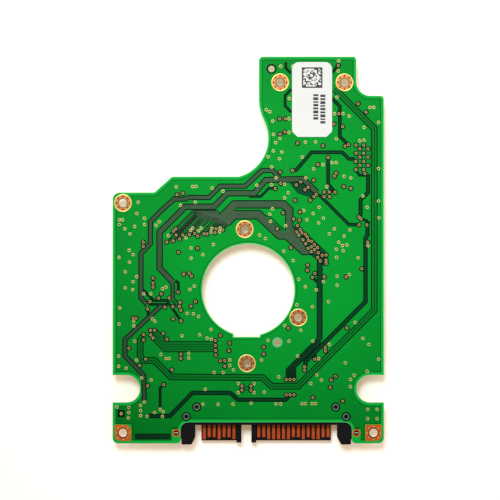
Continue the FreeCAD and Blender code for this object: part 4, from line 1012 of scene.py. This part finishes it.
class BOARD_OT_vias(PieceOperator, bpy.types.Operator):
    """Drills the vias with their plated rings"""
    bl_idname = "board.vias"
    bl_label = "Vias"

    def execute(self, context):
        s, c = sizes(), colours()
        face = FACE_Z + s.copper_height
        back = BACK_Z - s.copper_height
        lone_ring = s.via_ring * 0.88
        gold = plated_finish("via_gold", c.via_gold, 0.45, 0.2)
        bare = plated_finish("via_copper", c.via_bare, 0.45, 0.2)
        gap = mask_finish("mask_in_gap", c.gap)
        dark = plated_finish("via_bore", BORE_SHADE_BROWN, 0.6, 0.4)

        def rings(places, outer):
            def build(bm):
                for x, y in places:
                    annulus(bm, x, y, outer, s.via_hole, face, face + 0.03, 18, 0.012)
                    annulus(bm, x, y, outer, s.via_hole, back - 0.03, back, 18)
            return build

        def clearances(bm):
            for i, (x, y) in enumerate(LONE_VIAS):
                step = HAIR * (i % 40)
                annulus(bm, x, y, s.via_clearance, s.via_ring * 0.6, face - SINK, face + RING_TOP + step, 22)
                annulus(bm, x, y, s.via_clearance, s.via_ring * 0.6, back - 0.008 - step, back + SINK, 22)

        # Brown plugs in the via holes: painted shade down each hole, over its plated barrel.
        def bores(bm):
            for x, y in LIGHT_VIAS + LONE_VIAS:
                prism(bm, circle(x, y, s.via_hole * 1.05, 14), back - 0.005, face + 0.006)

        new_piece("via_rings_poured", rings(LIGHT_VIAS, s.via_ring), gold)
        new_piece("via_rings_lone", rings(LONE_VIAS, lone_ring), bare)
        new_piece("via_clearances", clearances, gap)
        new_piece("via_bores", bores, dark)
        return {"FINISHED"}


class BOARD_OT_lands(PieceOperator, bpy.types.Operator):
    """Adds the worn rims of the screw lands, and their barrels and stitching holes in painted shade"""
    bl_idname = "board.lands"
    bl_label = "Screw lands"

    def execute(self, context):
        c = colours()
        rim = plated_finish("land_rim", c.land_rim, 0.4, 0.15)
        brown = plated_finish("via_bore", BORE_SHADE_BROWN, 0.6, 0.4)
        tin = plated_finish("aged_tin", AGED_TIN, 0.5, 0.3)
        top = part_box("screw_lands")[1][2] / MM
        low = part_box("screw_lands")[0][2] / MM
        sunk, raised = top - LAND_SINK, low + LAND_SINK

        def rims(bm):
            for x, y in LANDS:
                annulus(bm, x, y, *LAND_RIM, sunk, top + 0.012, 48, 0.02)
                annulus(bm, x, y, *LAND_RIM, low - 0.012, raised, 48)

        def bores(bm):
            # Brown plugs in the stitching holes: painted shade down each hole, over its plated barrel.
            for land in LANDS:
                for x, y in circle(*land, STITCH_CIRCLE, 8):
                    at = circle(x, y, 0.21, 12)
                    prism(bm, at, sunk, top + 0.016)
                    prism(bm, at, low - 0.016, raised)
            # Rings of painted shade round the corner and screw holes, where the plated walls fall into shade.
            for places, radii in ((CORNERS, CORNER_BARREL_SHADE), (LANDS, LAND_BARREL_SHADE)):
                for x, y in places:
                    annulus(bm, x, y, *radii, sunk, top + 0.012, 32)

        def studs(bm):
            for corner in CORNERS:
                for x, y in circle(*corner, STITCH_CIRCLE, 8):
                    prism(bm, circle(x, y, 0.16, 12), sunk, top + 0.014)

        def collars(bm):
            for x, y in PEGS:
                annulus(bm, x, y, *PEG_RING, sunk, top + 0.015, 28, 0.02)

        new_piece("land_rims", rims, rim)
        new_piece("land_stitches", bores, brown)
        new_piece("corner_stitches", studs, rim)
        new_piece("peg_rings", collars, tin)
        return {"FINISHED"}


class BOARD_OT_joints(PieceOperator, bpy.types.Operator):
    """Solders every lead and end cap to a pad of its own"""
    bl_idname = "board.joints"
    bl_label = "Solder joints"

    def execute(self, context):
        s = sizes()
        face = BACK_Z - s.copper_height
        tin = material("bright_tin", solder)
        groups = {"passive": [], "leads": []}
        for node, body in NODES.items():
            if node.endswith("_ends"):
                groups["passive"] += islands(body)
            elif node.endswith(("_leads", "_tabs", "_terminals")):
                groups["leads"] += islands(body)
        if not groups["passive"] or not groups["leads"]:
            raise RuntimeError("no leads or end caps to solder")

        def fillets(parts, climb, spread):
            def build(bm):
                for points in parts:
                    feet = feet_of(points)
                    if len(feet) < 3:
                        continue
                    tall = min(BACK_Z - min(p[2] for p in points), 1.2)
                    frustum(bm, footprint(feet), spread, 0.015, face + 0.01, face - 0.012 - tall * climb)
            return build

        for group, climb, spread in (("passive", 0.42, s.pad_margin + 0.06), ("leads", 0.05, s.pad_margin)):
            new_piece("solder_fillets_" + group, fillets(groups[group], climb, spread), tin)
        return {"FINISHED"}


class BOARD_OT_fanout(PieceOperator, bpy.types.Operator):
    """Runs short traces from the chips' leads to the nearest vias"""
    bl_idname = "board.fanout"
    bl_label = "Component side traces"

    def execute(self, context):
        s, c = sizes(), colours()
        back = BACK_Z - s.copper_height
        gap = mask_finish("mask_in_gap", c.gap)
        tone = mask_finish("mask_open_traces", c.trace_green)
        starts = []
        for node, body in NODES.items():
            if node.endswith(("_leads", "_ends", "_tabs")):
                for points in islands(body):
                    starts.append(footprint(feet_of(points) or points)[0])
        vias = LIGHT_VIAS + LONE_VIAS
        free, lines = set(range(len(vias))), []
        for x, y in starts:
            near = sorted((math.hypot(vx - x, vy - y), i) for i, (vx, vy) in enumerate(vias) if i in free)
            for reach, i in near[:4]:
                line = dogleg((x, y), vias[i])
                if 0.9 < reach < 5.5 and not any(crosses(line, other) for other in lines):
                    free.discard(i)
                    lines.append(line)
                    break

        def ribbons(width, depth):
            def build(bm):
                for i, line in enumerate(lines):
                    ribbon(bm, line, width, back - depth - 0.1 * HAIR * i, back + SINK)
            return build

        new_piece("fanout_gaps", ribbons(0.42, 0.003), gap)
        new_piece("fanout_traces", ribbons(0.17, 0.009), tone)
        return {"FINISHED"}


class BOARD_OT_label(PieceOperator, bpy.types.Operator):
    """Prints the label with plain bars and modules that say nothing"""
    bl_idname = "board.label"
    bl_label = "Label print"

    def execute(self, context):
        NODES["label"].data.materials.clear()
        NODES["label"].data.materials.append(material("label_paper", paper))
        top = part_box("label")[1][2] / MM
        side, first_x, first_y = 0.35, 13.7, 51.6
        bar_width, bar_gap, print_thickness = 1.3, 0.28, 0.008

        def block(bm, x, y, wide, deep):
            corners = [(x, y), (x + wide, y), (x + wide, y + deep), (x, y + deep)]
            prism(bm, corners, top, top + print_thickness)

        def modules(bm):
            count = 15
            for i in range(count):
                for j in range(count):
                    rim = i in (0, count - 1) or j in (0, count - 1)
                    if rim or (i * 7 + j * 5 + (i * j) % 3) % 4 < 2 and (i + j) % 5:
                        block(bm, first_x + i * side, first_y + j * side, side, side)

        def bars(bm):
            for x, low, high in ((16.6, 43.5, 50.2), (18.4, 42.5, 50.2)):
                y, k = low, 0
                while y < high - 0.6:
                    long = (0.62, 0.40, 0.74, 0.50)[k % 4]
                    block(bm, x, y, bar_width, long)
                    y += long + bar_gap
                    k += 1

        print_ink = material("label_ink", ink)
        new_piece("label_modules", modules, print_ink)
        new_piece("label_bars", bars, print_ink)
        return {"FINISHED"}


class BOARD_OT_finishes(PieceOperator, bpy.types.Operator):
    """Gives every modelled part its finish"""
    bl_idname = "board.finishes"
    bl_label = "Finishes"

    def execute(self, context):
        c = colours()
        makers = {
            "laminate": laminate_board,
            "gold_land": lambda n: plated(n, c.gold, 0.30, 0.3),
            "gold_corner": lambda n: plated(n, c.corner_gold, 0.30, 0.25),
            "gold_contact": lambda n: plated(n, CONTACT_GOLD, 0.35, 0.25),
            "dull_tin": lambda n: plated(n, DULL_TIN, 0.5, 0.3),
            "bright_tin": solder,
            "black_nylon": lambda n: moulded(n, c.nylon, 0.45, 7.0, 0.3),
            "ivory_nylon": lambda n: moulded(n, IVORY, 0.45, 7.0, 0.08),
            "chip_epoxy": lambda n: moulded(n, c.epoxy, 0.6, 12.0, 0.3),
            "lid_nickel": lambda n: plated(n, NICKEL, 0.3, 0.1),
            "pale_ceramic": lambda n: ceramic(n, PALE_CERAMIC),
            "tan_ceramic": lambda n: ceramic(n, TAN_CERAMIC),
            "black_ceramic": lambda n: ceramic(n, BLACK_CERAMIC, 0.3),
            "ferrite": lambda n: moulded(n, FERRITE, 0.7, 10.0, 0.4),
            "amber_epoxy": lambda n: moulded(n, AMBER, 0.4, 8.0, 0.15),
        }
        rules = (
            (("circuit_board",), "laminate"),
            (("corner_screw_lands", "board_lock_lands"), "gold_corner"),
            (("screw_lands", "test_pads"), "gold_land"),
            (("sata_signal_contacts", "sata_power_contacts", "head_socket_contacts", "motor_contact"),
             "gold_contact"),
            (("peg_hole_lands",), "dull_tin"),
            (("sata_board_locks", "sata_solder_pads", "_ends", "_tabs", "_leads", "_terminals"),
             "bright_tin"),
            (("sata_housing", "motor_connector_housing", "surge_diode_bodies"), "black_nylon"),
            (("head_socket_housing",), "ivory_nylon"),
            (("controller_body", "chip_body", "driver_body", "transistor_bodies", "regulator_body"),
             "chip_epoxy"),
            (("crystal_lid",), "lid_nickel"),
            (("crystal_base", "shock_sensor_bodies"), "pale_ceramic"),
            (("capacitor_bodies",), "tan_ceramic"),
            (("resistor_bodies", "array_bodies"), "black_ceramic"),
            (("ferrite_bead_bodies", "inductor"), "ferrite"),
        )
        for node, body in NODES.items():
            if node == "label":
                continue
            name = next((finish for keys, finish in rules if any(k in node for k in keys)), None)
            if node == "tantalum_capacitor_bodies":
                name = "amber_epoxy"
            if name is None:
                raise RuntimeError("no finish for " + node)
            body.data.materials.clear()
            body.data.materials.append(material(name, makers[name]))
        return {"FINISHED"}


FLOOR_HALF = 3.0                                 # metres
FLOOR_GLOW, GLOW_STRENGTH = (1.0, 0.56, 0.24, 1.0), 0.27
SKY_TONE, KEY_TONE = (1.0, 0.92, 0.82, 1.0), (0.90, 0.97, 1.0)
KEY_AT, KEY_AIM = (-0.05, 0.21, 0.46), (0.010, 0.024, 0.0)
EYE_X, EYE_Y = 0.00045, 0.0102


class BOARD_OT_stage(PieceOperator, bpy.types.Operator):
    """Sets the pale floor, the soft lights and the camera"""
    bl_idname = "board.stage"
    bl_label = "Stage"

    def execute(self, context):
        t = context.scene.board_stage
        self.floor()
        self.lights(t)
        self.camera(t)
        context.scene.view_settings.view_transform = "Standard"
        return {"FINISHED"}

    def floor(self):
        m = Maker("floor_paper")
        m.shader.inputs["Emission Color"].default_value = FLOOR_GLOW
        m.shader.inputs["Emission Strength"].default_value = GLOW_STRENGTH
        at = m.place()
        cloud = m.noise(at, 0.01, 2.0)
        base = m.mix(cloud, (0.93, 0.93, 0.93), (0.97, 0.97, 0.97))
        finish = m.finish(base, (cloud * 0.1 + 0.8).clamped())
        z = CAD_BOX[0][2]
        mesh = bpy.data.meshes.new("floor")
        sides = ((-1, -1), (1, -1), (1, 1), (-1, 1))
        mesh.from_pydata([(x * FLOOR_HALF, y * FLOOR_HALF, z) for x, y in sides], [], [(0, 1, 2, 3)])
        floor = put("floor", mesh)
        mesh.materials.append(finish)

    def lights(self, t):
        world = bpy.data.worlds.new("surround")
        bpy.context.scene.world = world
        sky = Maker("surround", world)
        where = sky.node("ShaderNodeTexCoord")
        up = sky.axes(Val(sky, where.outputs["Generated"]))[2]
        overhead = ((up - 0.80) * 6.0).clamped()
        sky.shader.inputs["Color"].default_value = SKY_TONE
        sky.feed(sky.shader.inputs["Strength"], (1 - overhead * 0.8) * t.fill_strength)
        key = bpy.data.lights.new("key", "SPOT")
        key.energy = t.key_power
        key.spot_size = math.radians(34)
        key.spot_blend = 1.0
        key.shadow_soft_size = 0.11
        key.color = KEY_TONE
        lamp = put("key", key)
        lamp.location = KEY_AT
        lamp.rotation_euler = (Vector(KEY_AIM) - Vector(KEY_AT)).to_track_quat("-Z", "Y").to_euler()

    def camera(self, t):
        lens = bpy.data.cameras.new("camera")
        lens.sensor_width = 36.0
        lens.lens = lens.sensor_width * t.camera_height / t.view_width
        eye = put("camera", lens)
        eye.location = (EYE_X, EYE_Y, FACE_Z * MM + t.camera_height)
        bpy.context.scene.camera = eye


class BOARD_PT_panel(bpy.types.Panel):
    """Lists the steps that build the board"""
    bl_idname = "BOARD_PT_panel"
    bl_label = "Controller board"
    bl_space_type = "VIEW_3D"
    bl_region_type = "UI"
    bl_category = "Board"

    def draw(self, context):
        column = self.layout.column()
        for group in (context.scene.board_sizes, context.scene.board_colours, context.scene.board_stage):
            for key in group.__annotations__:
                column.prop(group, key)
        for step in STEPS:
            column.operator(step.bl_idname)


GROUPS = (("board_sizes", BoardSizes), ("board_colours", BoardColours), ("board_stage", StageSettings))
STEPS = (BOARD_OT_finishes, BOARD_OT_copper, BOARD_OT_traces, BOARD_OT_vias, BOARD_OT_lands, BOARD_OT_joints,
         BOARD_OT_fanout, BOARD_OT_label, BOARD_OT_stage)


def register():
    for name, group in GROUPS:
        bpy.utils.register_class(group)
        setattr(bpy.types.Scene, name, PointerProperty(type=group))
    for made in STEPS + (BOARD_PT_panel,):
        bpy.utils.register_class(made)


def unregister():
    for made in reversed(STEPS + (BOARD_PT_panel,)):
        bpy.utils.unregister_class(made)
    for name, group in reversed(GROUPS):
        delattr(bpy.types.Scene, name)
        bpy.utils.unregister_class(group)


def main():
    register()
    for step in STEPS:
        area, action = step.bl_idname.split(".")
        getattr(getattr(bpy.ops, area), action)()


if __name__ == "__main__":
    main()
